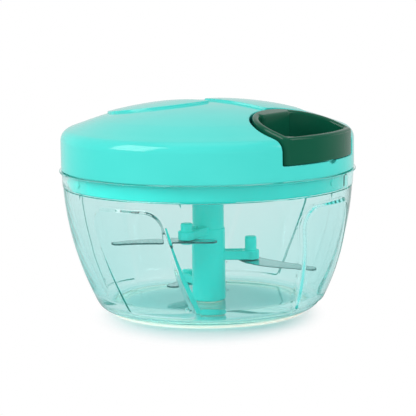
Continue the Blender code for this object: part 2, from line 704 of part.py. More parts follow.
def blade_outline():
    left = []
    right = []
    for spot, heading, share in blade_centre_line():
        side = Vector((-math.sin(heading), math.cos(heading))) * blade_half_width(share)
        left.append(tuple(spot + side))
        right.append(tuple(spot - side))
    tip_spot, tip_heading, _ = blade_centre_line()[-1]
    tail_spot, tail_heading, _ = blade_centre_line()[0]
    tip = arc(tip_spot.x, tip_spot.y, BLADE_TIP_WIDTH / 2, math.degrees(tip_heading) - 90.0,
              math.degrees(tip_heading) + 90.0, 5)[1:-1]
    tail = arc(tail_spot.x, tail_spot.y, BLADE_TAIL_WIDTH / 2, math.degrees(tail_heading) + 90.0,
               math.degrees(tail_heading) + 270.0, 5)[1:-1]
    return right + tip + left[::-1] + tail


def make_blade(name, level, angle, axis):
    hole = arc(PEG_DISTANCE, 0.0, RIVET_RADIUS + GAP, 0.0, 330.0, 11)
    blade = plate(name, [blade_outline(), hole], level, level + BLADE_THICKNESS, STEEL)
    blade.rotation_euler = (0.0, 0.0, math.radians(angle))
    hang(blade, axis)
    return blade


def hang(thing, axis):
    """Parents a piece to the empty on its joint's axis and leaves it where it is."""
    bpy.context.view_layer.update()
    thing.parent = axis
    thing.matrix_parent_inverse = axis.matrix_world.inverted()


# The lid

def dome_line(rise, end_radius, count):
    """The dome's outline from the axis outward, raised or lowered by rise."""
    radius = DOME_RADIUS + rise
    centre = LID_APEX - DOME_RADIUS
    points = []
    for index in range(count + 1):
        out = end_radius * index / count
        points.append((out, centre + math.sqrt(radius ** 2 - out ** 2)))
    return points


def lid_outline(shrink, low, count=6):
    """The lid's form from its apex down to a height, moved inward by shrink."""
    across = LID_RADIUS - SHOULDER_RADIUS
    drop = math.sqrt((DOME_RADIUS - SHOULDER_RADIUS) ** 2 - across ** 2)
    centre_z = LID_APEX - DOME_RADIUS + drop
    lean = math.degrees(math.atan2(drop, across))
    shoulder = arc(across, centre_z, SHOULDER_RADIUS - shrink, lean, 0.0, 4)
    return dome_line(-shrink, shoulder[0][0], count)[:-1] + shoulder + [(LID_RADIUS - shrink, low)]


def solid_under_dome(name, shrink, low):
    """A full solid of the lid's form, for cutting other pieces to it."""
    profile = lid_outline(shrink, low) + [(0.0, low)]
    return turned(name, profile, closed=False, group=CUTTERS)


def leaf_outline(turn):
    """A raised leaf: a round outer edge and a nearly straight inner edge by the axis."""
    x, y = LEAF_MIDDLE
    rise = math.degrees(math.asin((LEAF_INNER_EDGE - y) / LEAF_RADIUS))
    outer = arc(x, y, LEAF_RADIUS, rise, -180.0 - rise, 20)
    half = LEAF_RADIUS * math.cos(math.radians(rise))
    sag_radius = (half ** 2 + LEAF_INNER_SAG ** 2) / (2 * LEAF_INNER_SAG)
    inner = bulged(outer[0], outer[-1], sag_radius, 6)[::-1][1:-1]
    spun = Matrix.Rotation(math.radians(turn), 2)
    return [tuple(spun @ Vector(point)) for point in outer + inner]


def rounded_tongue(half_width, depth, end):
    """Plan outline open towards +X: straight sides and a round inner end."""
    inner = []
    for index in range(15):
        turn = math.radians(90.0 + 180.0 * index / 14)
        inner.append((HANDLE_ROUND_START + depth * math.cos(turn), half_width * math.sin(turn)))
    return [(end, half_width)] + inner + [(end, -half_width)]


def make_lid_cover(body):
    """Domed cover with two raised leaves, the handle's pocket, the axle's boss and screw bosses."""
    profile = lid_outline(0.0, LID_LOW) + lid_outline(LID_WALL, LID_LOW, 4)[::-1]
    cover = turned("lid_cover", profile, AQUA, closed=False)
    for index, turn in enumerate((0.0, 180.0)):
        skin = turned("leaf_skin_%d" % (index + 1), leaf_skin_profile(), closed=False, group=CUTTERS)
        leaf = plate("leaf_%d" % (index + 1), [leaf_outline(turn)], LID_LOW, FAR, group=CUTTERS)
        keep_inside(leaf, skin)
        join(cover, leaf)
    pocket_block = plate("pocket_block",
                         [rounded_tongue(POCKET_HALF_WIDTH + POCKET_WALL, POCKET_DEPTH + POCKET_WALL, FAR)],
                         POCKET_FLOOR - POCKET_WALL, FAR, group=CUTTERS)
    inner_form = solid_under_dome("inner_form", LID_WALL / 2, 0.0)
    keep_inside(pocket_block, inner_form)
    join(cover, pocket_block)
    join(cover, rod("axle_boss", COVER_BOSS_LOW, LID_APEX - LID_WALL / 2, 2 * AXLE_RADIUS, group=CUTTERS))
    for index, angle in enumerate(SCREW_DIRECTIONS):
        place = tuple(direction(angle).xy * SCREW_CIRCLE)
        boss = rod("boss_%d" % (index + 1), PLATE_TOP + GAP, LID_APEX, BOSS_RADIUS,
                   steps=16, group=CUTTERS, at=place)
        keep_inside(boss, inner_form)
        join(cover, boss)
        cut(cover, rod("boss_bore_%d" % (index + 1), 0.0, PLATE_TOP + SCREW_LENGTH,
                       SCREW_SHANK_RADIUS + GAP, steps=12, group=CUTTERS, at=place))
    cut(cover, plate("pocket_cut", [rounded_tongue(POCKET_HALF_WIDTH, POCKET_DEPTH, FAR)],
                     POCKET_FLOOR, FAR, group=CUTTERS))
    cut(cover, rod("axle_bore", COVER_BOSS_LOW - GAP, AXLE_TOP + GAP, AXLE_BORE_RADIUS, group=CUTTERS))
    cut(cover, lying_rod("guide_hole", POCKET_END - 2 * POCKET_WALL, HANDLE_ROUND_START,
                         GUIDE_OUTER_RADIUS + GAP, group=CUTTERS))
    cut(cover, wall_cutter("thumb_notch", notch_outline(), 0.0, LID_INNER_RADIUS, FAR))
    smooth(cover)
    hang(cover, body)


def notch_outline():
    """The small notch for a fingernail in the pocket's edge, under the handle."""
    low = POCKET_FLOOR - THUMB_NOTCH_DEPTH
    high = POCKET_FLOOR + GAP
    foot = THUMB_NOTCH_HALF / 3
    return ((-THUMB_NOTCH_HALF, high), (-foot, low), (foot, low), (THUMB_NOTCH_HALF, high))


def leaf_skin_profile():
    """A thin shell over the dome, from inside its wall to the leaves' raised tops."""
    reach = LEAF_RADIUS + 1.2 * Vector(LEAF_MIDDLE).length
    return dome_line(LEAF_PROUD, reach, 6) + dome_line(-LID_WALL / 2, reach, 6)[::-1]


def lying_rod(name, near, far, radius, finish=None, steps=ROUND_SMALL, group=None, level=CORD_LEVEL):
    """A cylinder along +X between two distances from the axis."""
    made = rod(name, near, far, radius, finish, steps, group)
    lay_along_x(made, level)
    return made


def lay_along_x(thing, level=CORD_LEVEL):
    """Turns a piece made round Z to lie round a line along +X at a height."""
    turn = Matrix.Rotation(math.radians(90.0), 4, "Y")
    thing.matrix_world = Matrix.Translation((0.0, 0.0, level)) @ turn


def make_lid_base(body):
    """Plate with the skirt that enters the bowl, the bearing hub and the flange in the cover."""
    flange_low = LID_LOW + GAP
    flange_radius = LID_INNER_RADIUS - GAP
    profile = [(flange_radius, flange_low + FLANGE_HEIGHT), (flange_radius, flange_low),
               (SKIRT_RADIUS, flange_low), (SKIRT_RADIUS, SKIRT_LOW),
               (SKIRT_RADIUS - SKIRT_WALL, SKIRT_LOW), (SKIRT_RADIUS - SKIRT_WALL, PLATE_LOW),
               (HUB_RADIUS, PLATE_LOW), (HUB_RADIUS, HUB_LOW), (HUB_INNER_RADIUS, HUB_LOW),
               (HUB_INNER_RADIUS, PLATE_TOP), (SKIRT_RADIUS - SKIRT_WALL, PLATE_TOP),
               (SKIRT_RADIUS - SKIRT_WALL, flange_low + FLANGE_HEIGHT)]
    base = turned("lid_base", profile, AQUA)
    for index in range(BAYONET_COUNT):
        angle = BAYONET_DIRECTION + 360.0 * index / BAYONET_COUNT
        tab = wall_cutter("tab_%d" % (index + 1), tab_outline(), angle,
                          SKIRT_RADIUS - SKIRT_WALL / 2, TAB_RADIUS)
        join(base, tab)
    for index, angle in enumerate(SCREW_DIRECTIONS):
        place = tuple(direction(angle).xy * SCREW_CIRCLE)
        cut(base, rod("screw_hole_%d" % (index + 1), 0.0, FAR, SCREW_SHANK_RADIUS + GAP,
                      steps=12, group=CUTTERS, at=place))
        cut(base, rod("screw_seat_%d" % (index + 1), 0.0, PLATE_LOW + PLATE_THICKNESS / 2,
                      SCREW_HEAD_RADIUS + GAP, steps=12, group=CUTTERS, at=place))
    smooth(base)
    hang(base, body)
    return base


def tab_outline():
    """The bayonet tab's oval, drawn on the skirt."""
    points = []
    for index in range(12):
        turn = math.tau * index / 12
        points.append((TAB_WIDTH / 2 * math.cos(turn), TAB_MIDDLE + TAB_HEIGHT / 2 * math.sin(turn)))
    return points


def screw_profile(head_top, shank, shank_radius, head_radius, head_height):
    """Outline of a screw that points up, its head below."""
    tip = head_top + shank
    head_low = head_top - head_height
    return [(0.0, tip), (shank_radius, tip - shank_radius), (shank_radius, head_top),
            (head_radius, head_top), (head_radius * 0.8, head_low), (0.0, head_low)]


def make_lid_screws(body):
    head_top = PLATE_LOW + PLATE_THICKNESS / 2 - GAP
    profile = screw_profile(head_top, SCREW_LENGTH, SCREW_SHANK_RADIUS, SCREW_HEAD_RADIUS,
                            SCREW_HEAD_HEIGHT)
    for index, angle in enumerate(SCREW_DIRECTIONS):
        screw = turned("lid_screw_%d" % (index + 1), profile, PIN_STEEL, steps=12, closed=False)
        screw.location = direction(angle) * SCREW_CIRCLE
        smooth(screw)
        hang(screw, body)


def make_cord_guide(body):
    """The bush in the pocket's inner wall that the cord runs through."""
    near = GUIDE_NEAR
    profile = [(GUIDE_OUTER_RADIUS, POCKET_END), (GUIDE_OUTER_RADIUS, near + GUIDE_FLANGE),
               (GUIDE_FLANGE_RADIUS, near + GUIDE_FLANGE), (GUIDE_FLANGE_RADIUS, near),
               (GUIDE_BORE_RADIUS, near), (GUIDE_BORE_RADIUS, POCKET_END)]
    guide = turned("cord_guide", profile, WHITE, steps=ROUND_SMALL)
    lay_along_x(guide)
    smooth(guide)
    hang(guide, body)
    return guide


# The reel, its spring and the cord

def make_reel(axis):
    """A drum with two flanges, open on top for the spring."""
    inner = DRUM_RADIUS - DRUM_WALL
    profile = [(REEL_FLANGE_RADIUS, REEL_TOP), (REEL_FLANGE_RADIUS, REEL_GROOVE_TOP),
               (DRUM_RADIUS, REEL_GROOVE_TOP), (DRUM_RADIUS, REEL_GROOVE_LOW),
               (REEL_FLANGE_RADIUS, REEL_GROOVE_LOW), (REEL_FLANGE_RADIUS, REEL_LOW),
               (AXLE_BORE_RADIUS, REEL_LOW), (AXLE_BORE_RADIUS, REEL_LOW + REEL_WEB),
               (inner, REEL_LOW + REEL_WEB), (inner, REEL_TOP)]
    reel = turned("cord_reel", profile, WHITE, steps=ROUND_MEDIUM)
    smooth(reel)
    hang(reel, axis)
    return reel


def spiral_line(radius_inner, radius_outer, turns, per_turn):
    points = []
    count = turns * per_turn
    for index in range(count + 1):
        share = index / count
        turn = math.tau * turns * share
        radius = radius_inner + (radius_outer - radius_inner) * share
        points.append((radius * math.cos(turn), radius * math.sin(turn)))
    return points


def make_spring(axis):
    """A flat strip wound in the drum, from round the axle out to the drum's wall."""
    inner = AXLE_RADIUS + GAP
    outer = DRUM_RADIUS - DRUM_WALL - GAP - SPRING_STRIP
    near = spiral_line(inner, outer, SPRING_TURNS, SPRING_POINTS_PER_TURN)
    far = spiral_line(inner + SPRING_STRIP, outer + SPRING_STRIP, SPRING_TURNS, SPRING_POINTS_PER_TURN)
    low = REEL_LOW + REEL_WEB + GAP
    spring = plate("return_spring", [near + far[::-1]], low, low + SPRING_HEIGHT, SPRING_STEEL)
    hang(spring, axis)
    return spring


def make_spring_cover(axis):
    """Lid of the spring's room, with a ring that centres it in the drum."""
    low = REEL_TOP + GAP
    high = low + SPRING_COVER_THICKNESS
    ring_outer = DRUM_RADIUS - DRUM_WALL - GAP
    ring_inner = ring_outer - DRUM_WALL
    ring_low = REEL_TOP - DRUM_WALL / 2
    profile = [(SPRING_COVER_RADIUS, high), (SPRING_COVER_RADIUS, low), (ring_outer, low),
               (ring_outer, ring_low), (ring_inner, ring_low), (ring_inner, low),
               (AXLE_BORE_RADIUS, low), (AXLE_BORE_RADIUS, high)]
    cover = turned("spring_cover", profile, WHITE, steps=ROUND_MEDIUM)
    smooth(cover)
    hang(cover, axis)
    return cover


def tangent_angle():
    """Where the cord leaves the drum, so that it points at the guide."""
    return math.degrees(math.acos(WINDING_RADIUS / cord_bend().x))


def cord_bend():
    """The point behind the guide where the cord turns along +X."""
    return Vector((GUIDE_NEAR - CORD_BEND_REACH - GAP, 0.0, CORD_LEVEL))


def winding_points():
    """The cord's loops round the drum, climbing steadily to the height of the guide."""
    per_turn = 24
    leave = tangent_angle()
    count = round((CORD_TURNS + CORD_LAST_TURN) * per_turn)
    points = []
    for back in range(count, -1, -1):
        spot = direction(leave + 360.0 * back / per_turn) * WINDING_RADIUS
        spot.z = CORD_LEVEL - CORD_PITCH * back / per_turn
        points.append(spot)
    return points


def run_direction():
    """The way the cord runs from the drum to the bend behind the guide."""
    leave = direction(tangent_angle()) * WINDING_RADIUS
    leave.z = CORD_LEVEL
    return (cord_bend() - leave).normalized()


def length_along(points):
    return sum((b - a).length for a, b in zip(points, points[1:]))


def least_gap(points, radius, apart):
    """Least clear distance between stretches of a tube further apart along it than apart."""
    runs = [0.0]
    for a, b in zip(points, points[1:]):
        runs.append(runs[-1] + (b - a).length)
    least = FAR
    for i, a in enumerate(points):
        for j in range(i + 1, len(points)):
            if runs[j] - runs[i] > apart:
                least = min(least, (a - points[j]).length - 2 * radius)
    return least


def as_mesh(thing):
    """A tube as a mesh object with welded caps, so that it can be cut."""
    name = thing.name
    bpy.context.view_layer.update()
    seen = thing.evaluated_get(bpy.context.evaluated_depsgraph_get())
    mesh = bpy.data.meshes.new_from_object(seen)
    shape = bmesh.new()
    shape.from_mesh(mesh)
    bmesh.ops.remove_doubles(shape, verts=shape.verts, dist=0.000001)
    bmesh.ops.recalc_face_normals(shape, faces=shape.faces)
    shape.to_mesh(mesh)
    shape.free()
    made = add_object(name + "_mesh", mesh, None)
    made.matrix_world = thing.matrix_world
    bpy.data.objects.remove(thing, do_unlink=True)
    made.name = name
    return made


def make_cord(body, reel_axis, handle_body):
    """The winding on the reel, the run to the guide, the lead to the handle and the knot in it.

    The cord is parted where it leaves the space that the winding turns in, so that the reel's
    share of it can go round without meeting the run, which stays with the lid.
    """
    loops = winding_points()
    way = run_direction()
    tail = math.sqrt(WINDING_REACH ** 2 - (WINDING_RADIUS - CORD_RADIUS) ** 2) + CORD_RADIUS
    points = loops + [loops[-1] + way * tail]
    gap = least_gap(points, CORD_RADIUS, 6 * CORD_DIAMETER)
    print("Least gap between the cord's loops, mm: %.3f" % (gap / MM))
    winding = as_mesh(tube("cord_winding", points, CORD_RADIUS, CORD, sides=1))
    keep_inside(winding, rod("winding_room", REEL_GROOVE_LOW, REEL_GROOVE_TOP, WINDING_REACH,
                             steps=ROUND_LARGE, group=CUTTERS))
    hang(winding, reel_axis)
    bend = cord_bend()
    before = bend - way * CORD_BEND_REACH
    after = bend + Vector((CORD_BEND_REACH, 0.0, 0.0))
    end = Vector((POCKET_END, 0.0, CORD_LEVEL))
    route = [loops[-1], before]
    for index in range(1, 4):
        share = index / 4
        route.append(before.lerp(bend, share).lerp(bend.lerp(after, share), share))
    route += [after, end]
    run = as_mesh(tube("cord_run", route, CORD_RADIUS, CORD))
    cut(run, rod("run_clearance", REEL_GROOVE_LOW, REEL_GROOVE_TOP, WINDING_REACH + GAP,
                 steps=ROUND_LARGE, group=CUTTERS))
    hang(run, body)
    lead = [end + Vector((GAP, 0.0, 0.0)), knot_middle() - Vector((KNOT_RADIUS, 0.0, 0.0))]
    hang(tube("cord_lead", lead, CORD_RADIUS, CORD), handle_body)
    total = length_along(loops) + length_along(route) + length_along(lead)
    print("Cord from its first loop to the knot, mm: %.1f" % (total / MM))
    knot_mesh = bpy.data.meshes.new("cord_knot")
    shape = bmesh.new()
    bmesh.ops.create_icosphere(shape, subdivisions=2, radius=KNOT_RADIUS - GAP)
    shape.to_mesh(knot_mesh)
    shape.free()
    knot = add_object("cord_knot", knot_mesh, CORD)
    knot.location = knot_middle()
    knot.data.shade_smooth()
    hang(knot, handle_body)


def knot_middle():
    """The knot sits in the middle of the handle's anchor block."""
    return Vector((HANDLE_INNER_END + ANCHOR_THICKNESS / 2, 0.0, CORD_LEVEL))


# The axle and the clutch

def make_axle(body):
    """The steel axle, with the screw and washer that keep the coupler on it."""
    axle = rod("centre_axle", AXLE_LOW, AXLE_TOP, AXLE_RADIUS, PIN_STEEL)
    cut(axle, rod("axle_thread_hole", 0.0, AXLE_LOW + AXLE_SCREW_SHANK + GAP,
                  AXLE_SCREW_SHANK_RADIUS + GAP, steps=16, group=CUTTERS))
    smooth(axle)
    hang(axle, body)
    washer_low = SOCKET_CEILING - GAP - WASHER_THICKNESS
    washer_high = washer_low + WASHER_THICKNESS
    washer_radius = AXLE_SCREW_HEAD_RADIUS + GAP
    inner = AXLE_SCREW_SHANK_RADIUS + GAP
    washer = turned("axle_washer", [(washer_radius, washer_high), (washer_radius, washer_low),
                                    (inner, washer_low), (inner, washer_high)],
                    PIN_STEEL, steps=ROUND_SMALL)
    profile = screw_profile(washer_low - GAP, AXLE_SCREW_SHANK, AXLE_SCREW_SHANK_RADIUS,
                            AXLE_SCREW_HEAD_RADIUS, AXLE_SCREW_HEAD)
    screw = turned("axle_screw", profile, PIN_STEEL, steps=16, closed=False)
    for piece in (washer, screw):
        smooth(piece)
        hang(piece, body)


def make_coupler(axis):
    """Socket for the shaft's hexagonal head, under a cup with the clutch's dogs."""
    cup_inner = COUPLER_FLANGE_RADIUS - COUPLER_CUP_WALL
    profile = [(COUPLER_FLANGE_RADIUS, COUPLER_CUP_TOP), (COUPLER_FLANGE_RADIUS, COUPLER_FLANGE_LOW),
               (COUPLER_RADIUS, COUPLER_FLANGE_LOW), (COUPLER_RADIUS, COUPLER_LOW), (0.0, COUPLER_LOW),
               (0.0, COUPLER_FLANGE_TOP), (cup_inner, COUPLER_FLANGE_TOP), (cup_inner, COUPLER_CUP_TOP)]
    coupler = turned("drive_coupler", profile, WHITE, steps=ROUND_MEDIUM)
    for index in range(DOG_COUNT):
        dog = block("dog_%d" % (index + 1),
                    (cup_inner - DOG_LENGTH, -DOG_WIDTH / 2, COUPLER_FLANGE_TOP - COUPLER_FLANGE / 2),
                    (cup_inner + COUPLER_CUP_WALL / 2, DOG_WIDTH / 2, COUPLER_CUP_TOP - GAP),
                    group=CUTTERS)
        dog.rotation_euler = (0.0, 0.0, math.radians(360.0 * index / DOG_COUNT))
        join(coupler, dog)
    socket_radius = HEX_RADIUS + GAP / math.cos(math.pi / 6)
    cut(coupler, rod("socket_hex", 0.0, SOCKET_CEILING, socket_radius, steps=6, group=CUTTERS))
    cut(coupler, rod("coupler_bore", 0.0, FAR, AXLE_BORE_RADIUS, group=CUTTERS))
    smooth(coupler)
    hang(coupler, axis)
    return coupler


def make_clutch(axis):
    """Ring under the reel with springy tongues that push the cup's dogs one way only."""
    top = REEL_LOW - GAP
    low = COUPLER_FLANGE_TOP + GAP
    reach = COUPLER_FLANGE_RADIUS - COUPLER_CUP_WALL - GAP
    profile = [(CLUTCH_HUB_RADIUS, top), (CLUTCH_HUB_RADIUS, low),
               (AXLE_BORE_RADIUS, low), (AXLE_BORE_RADIUS, top)]
    clutch = turned("clutch_disc", profile, DARK_GREEN, steps=ROUND_SMALL)
    for index in range(TONGUE_COUNT):
        tongue = plate("tongue_%d" % (index + 1), [tongue_outline(reach)], low, top - GAP, group=CUTTERS)
        tongue.rotation_euler = (0.0, 0.0, math.radians(360.0 * index / TONGUE_COUNT))
        join(clutch, tongue)
    smooth(clutch)
    hang(clutch, axis)


def tongue_outline(reach):
    """A tongue that winds clockwise from the hub out to between two dogs.

    Its tip leaves room for the bayonet's turn, which swings the lid but not the cup.
    """
    dog_half = math.degrees(DOG_WIDTH / 2 / reach)
    tip = BAYONET_TURN + dog_half + TONGUE_SPARE - 360.0 / DOG_COUNT
    hub = CLUTCH_HUB_RADIUS - TONGUE_WIDTH / 2
    outer = []
    inner = []
    for index in range(11):
        share = index / 10
        way = direction(tip + TONGUE_SWEEP * (1.0 - share)).xy
        radius = hub + (reach - hub) * share
        outer.append(tuple(way * radius))
        inner.append(tuple(way * (radius - TONGUE_WIDTH)))
    return outer + inner[::-1]


# The pull handle

def handle_outlines():
    """Outer edge and finger opening of the handle, in plan."""
    corner_y = HANDLE_HALF_WIDTH - HANDLE_CORNER
    corner_x = math.sqrt((HANDLE_RADIUS - HANDLE_CORNER) ** 2 - corner_y ** 2)
    lean = math.degrees(math.atan2(corner_y, corner_x))
    corner = arc(corner_x, corner_y, HANDLE_CORNER, 90.0, lean, 4)
    face = arc(0.0, 0.0, HANDLE_RADIUS, lean, -lean, 8)[1:-1]
    other_corner = [(x, -y) for x, y in corner][::-1]
    round_end = rounded_tongue(HANDLE_HALF_WIDTH, HANDLE_ROUND_DEPTH, FAR)[1:-1]
    outer = corner + face + other_corner + round_end[::-1]
    half = HANDLE_HALF_WIDTH - HANDLE_SIDE_WALL
    bar = HANDLE_RADIUS - HANDLE_BAR
    bar_lean = math.degrees(math.asin(half / bar))
    depth = HANDLE_ROUND_DEPTH - HANDLE_END_WALL
    side = [point for point in rounded_tongue(half, depth, FAR)[1:-1] if point[1] > ANCHOR_HALF_WIDTH]
    foot_x = HANDLE_ROUND_START - depth * math.sqrt(1.0 - (ANCHOR_HALF_WIDTH / half) ** 2)
    side += [(foot_x, ANCHOR_HALF_WIDTH), (HANDLE_INNER_END + ANCHOR_THICKNESS, ANCHOR_HALF_WIDTH)]
    other_side = [(x, -y) for x, y in side]
    opening = arc(0.0, 0.0, bar, bar_lean, -bar_lean, 8) + other_side + side[::-1]
    return [outer, opening]


def make_handle(body):
    """A loop for the fingers whose top follows the dome, with the cord's anchor in its inner end."""
    handle = plate("pull_handle", handle_outlines(), HANDLE_LOW, LID_APEX + LID_WALL, DARK_GREEN)
    keep_inside(handle, solid_under_dome("handle_form", HANDLE_CLEARANCE_FACE / 2, 0.0))
    middle = knot_middle().x
    cut(handle, lying_rod("cord_hole", 0.0, middle, CORD_RADIUS + GAP, steps=12, group=CUTTERS))
    room = KNOT_RADIUS + GAP
    cut(handle, block("knot_slot", (middle - room, -room, 0.0), (middle + room, room, CORD_LEVEL + room),
                      group=CUTTERS))
    smooth(handle)
    hang(handle, body)


def build():
    make_bowl()
    make_pivot_pin()
    blade_axis = joint_axis("blade_spin_axis", (0.0, 0.0, SHAFT_LOW))
    lift_axis = joint_axis("lid_lift_axis", (0.0, 0.0, BOWL_RIM))
    lid_axis = joint_axis("lid_turn_axis", (0.0, 0.0, BOWL_RIM))
    reel_axis = joint_axis("reel_spin_axis", (0.0, 0.0, REEL_LOW))
    coupler_axis = joint_axis("coupler_spin_axis", (0.0, 0.0, COUPLER_LOW))
    handle_slide = joint_axis("handle_pull_start", (HANDLE_INNER_END, 0.0, CORD_LEVEL))
    hang(lid_axis, lift_axis)
    hang(coupler_axis, lift_axis)
    hang(reel_axis, lid_axis)
    hang(handle_slide, lid_axis)
    make_blade_shaft(blade_axis)
    for index, level in enumerate(BLADE_LEVELS):
        make_blade(BLADE_NAMES[index], level, FIRST_ARM_DIRECTION + ARM_STEP * index, blade_axis)
    make_lid_cover(lid_axis)
    make_lid_base(lid_axis)
    make_lid_screws(lid_axis)
    make_cord_guide(lid_axis)
    make_axle(lift_axis)
    make_coupler(coupler_axis)
    make_reel(reel_axis)
    make_clutch(reel_axis)
    make_spring(reel_axis)
    make_spring_cover(reel_axis)
    make_handle(handle_slide)
    make_cord(lid_axis, reel_axis, handle_slide)


build()
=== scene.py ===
"""Looks of the pull-cord vegetable chopper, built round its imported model.

Sizes are written in millimetres and turned into metres when a mesh is made. Angles about the
axis are in degrees, anticlockwise seen from above, and the pull handle points along +X.
"""
import math

import bpy
import numpy as np
from mathutils import Matrix, Vector
from mathutils.geometry import delaunay_2d_cdt


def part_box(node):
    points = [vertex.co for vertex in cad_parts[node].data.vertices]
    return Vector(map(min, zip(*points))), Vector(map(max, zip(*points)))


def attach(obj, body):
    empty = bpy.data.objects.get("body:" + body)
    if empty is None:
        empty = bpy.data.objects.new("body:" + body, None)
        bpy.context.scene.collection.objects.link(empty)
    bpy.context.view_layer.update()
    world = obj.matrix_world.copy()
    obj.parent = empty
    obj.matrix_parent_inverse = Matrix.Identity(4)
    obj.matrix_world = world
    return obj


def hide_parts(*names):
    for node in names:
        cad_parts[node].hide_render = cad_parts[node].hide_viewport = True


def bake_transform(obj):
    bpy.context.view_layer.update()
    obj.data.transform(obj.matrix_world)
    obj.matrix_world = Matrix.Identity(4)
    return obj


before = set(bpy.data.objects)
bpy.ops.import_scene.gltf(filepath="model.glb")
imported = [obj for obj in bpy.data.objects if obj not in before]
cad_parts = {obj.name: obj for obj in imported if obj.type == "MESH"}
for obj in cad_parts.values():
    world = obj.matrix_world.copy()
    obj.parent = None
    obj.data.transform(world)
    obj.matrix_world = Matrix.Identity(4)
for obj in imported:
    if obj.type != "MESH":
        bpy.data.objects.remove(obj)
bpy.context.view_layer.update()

MM = 0.001
GAP = 0.3  # between pieces that seat on each other

# Camera, in the photograph's 416 pixel frame
CAMERA_TURN = math.radians(37.5)
TOWARDS_CAMERA = Vector((math.sin(CAMERA_TURN), -math.cos(CAMERA_TURN), 0.0))
CAMERA_DISTANCE = 800.0  # from the axis, along the ground
CAMERA_HEIGHT = 162.853
CAMERA_PITCH = 8.51  # degrees down
CAMERA_ROLL = -0.73
CAMERA_FOCAL_PIXELS = 1910.58
PHOTO_PIXELS = 416.0
SENSOR = 36.0
LIGHT_BOUNCES = 24  # light runs far inside the bowl's edges

# Meshes
ROUND_STEPS = (0.0, 0.03, 0.12, 0.27, 0.5, 0.75, 1.0)  # shares of an edge's round
OUTLINE_SPACING = 0.6
MIRROR = np.array([1.0, -1.0])  # turns flat points over the X axis

# Lid
LID_RADIUS = 62.0
LID_LOW = 61.0
LID_WALL = 2.0
LID_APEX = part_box("centre_axle")[1].z / MM + 1.5 + LID_WALL
DOME_RADIUS = 172.0
SHOULDER_RADIUS = 5.55
EDGE_ROUND = 0.45  # on the lid's edges and under the handle
LEAF_PROUD = 0.85
LEAF_RADIUS = 24.4
LEAF_MIDDLE = (-20.6, -2.2)
LEAF_INNER_EDGE = -2.9
LEAF_INNER_SAG = 0.9
LEAF_CORNER = 0.5
LEAF_TURNS = (0.0, 180.0)
LEAF_POINTS = 240  # along each row round a leaf
CREASE_FROM = 45.0  # a soft crease in the dome, then a slightly steeper ring
CREASE_TO = 54.0
CREASE_DROP = 0.35
STEP_OUTSIDE = 0.35  # where the leaf's step starts and ends, off its outline
STEP_INSIDE = 0.2

# Pocket and pull handle
HANDLE_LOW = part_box("pull_handle")[0].z / MM
HANDLE_RADIUS = 61.9
HANDLE_HALF_WIDTH = 23.5
HANDLE_ROUND_START = 50.0
HANDLE_ROUND_DEPTH = 20.1
HANDLE_CORNER = 3.0
HANDLE_SIDE_WALL = 2.6
HANDLE_BAR = 3.3
HANDLE_END_WALL = 3.0
HANDLE_EDGE = 1.2
HANDLE_LEVEL_FROM = 57.6  # from the axis, where its top stops following the dome
HANDLE_PROUD = 0.8  # above the dome at its inner end
HANDLE_SUNK = 0.05  # at its outer end
ANCHOR_END = 36.3
ANCHOR_HALF_WIDTH = 10.0
ANCHOR_CORNER = 1.6
POCKET_HALF_WIDTH = 24.9
POCKET_DEPTH = 21.1
POCKET_FLOOR = HANDLE_LOW - GAP
POCKET_WALL = 1.6
POCKET_CORNER = 0.9
POCKET_END = HANDLE_ROUND_START - POCKET_DEPTH
NOTCH_TURN = 3.2
NOTCH_HALF = 3.0
NOTCH_FOOT = 1.0
NOTCH_DEPTH = 1.25

# Bowl
BOWL_WALL = 2.0
WALL_EXTRA = 2.0  # the side wall is thicker towards the floor
BOWL_RIM = LID_LOW - GAP
GROOVE = 0.3  # round the wall, under the collar
FLOOR_UNDERSIDE = 1.4
FLOOR_TOP = 3.4
CORNER_CENTRE = (41.5, 8.0)
CORNER_RADIUS = 6.6
CORNER_END = -25.0
SIDE_RADIUS = 124.8
BOWL_SHOULDER = (60.9, 53.6)
COLLAR_LOW_RADIUS = 61.15
COLLAR_RIM_RADIUS = 61.5
COLLAR_INNER = 59.1
LIP_RADIUS = 62.4
LIP_HEIGHT = 0.7
FOOT_OUTER = 41.4
FOOT_INNER = 38.4
BOSS_RADIUS = 6.0
BOSS_DROP = 0.8
FROST_TOP = 0.6  # the foot ring is frosted up to here
FROST_CLEAR = 0.55  # share of the light that its frosted part lets through
# Painted glow: the bowl's plastic emits these colours, strongly at the foot ring and faintly on the walls
FOOT_PAINTED_GLOW = (0.36, 0.18, 0.13)  # painted glow, an emission that stands in for light carried inside the bowl, where it comes out
WALL_PAINTED_GLOW = (0.0, 0.010, 0.009)
PIN_HOLE = 2.8
GRIP_COUNT = 4
GRIP_FIRST = 7.5
GRIP_OUTSIDE = (0.70, 0.9, 0.9, 0.0)  # slope of the step, depth at top and foot, lean sideways
GRIP_INSIDE = (0.45, 0.45, 1.6, 1.0)
GRIP_SOFTNESS = 0.3
GRIP_CORNERS = ((-10.8, 5.0, 3.0), (20.4, 5.0, 3.0), (12.5, 50.5, 8.0), (-23.9, 50.5, 8.0))
BAYONET_COUNT = 3
BAYONET_FIRST = 5.5
BAYONET_HALF = 9.2  # degrees, as is the turn to the locked place
BAYONET_TURN = 18.0
BAYONET_LOW = 55.6
BAYONET_TOP = 60.0
BAYONET_DEPTH = 0.25
COLUMNS = 480  # round the bowl
FLAT_RADIUS = 56.0  # the wall is flattened sideways as angle times this

# Lid base
SKIRT_RADIUS = 58.8
SKIRT_WALL = 1.8
SKIRT_LOW = 54.0
PLATE_LOW = 55.2
PLATE_TOP = 57.2
HUB_OUTER = 11.8
HUB_INNER = 9.3
HUB_LOW = 47.0
FLANGE_RADIUS = 59.7
FLANGE_TOP = 63.3
TAB_HALF_WIDTH = 2.15
TAB_HALF_HEIGHT = 1.7
TAB_MIDDLE = 57.8
TAB_PROUD = 0.5

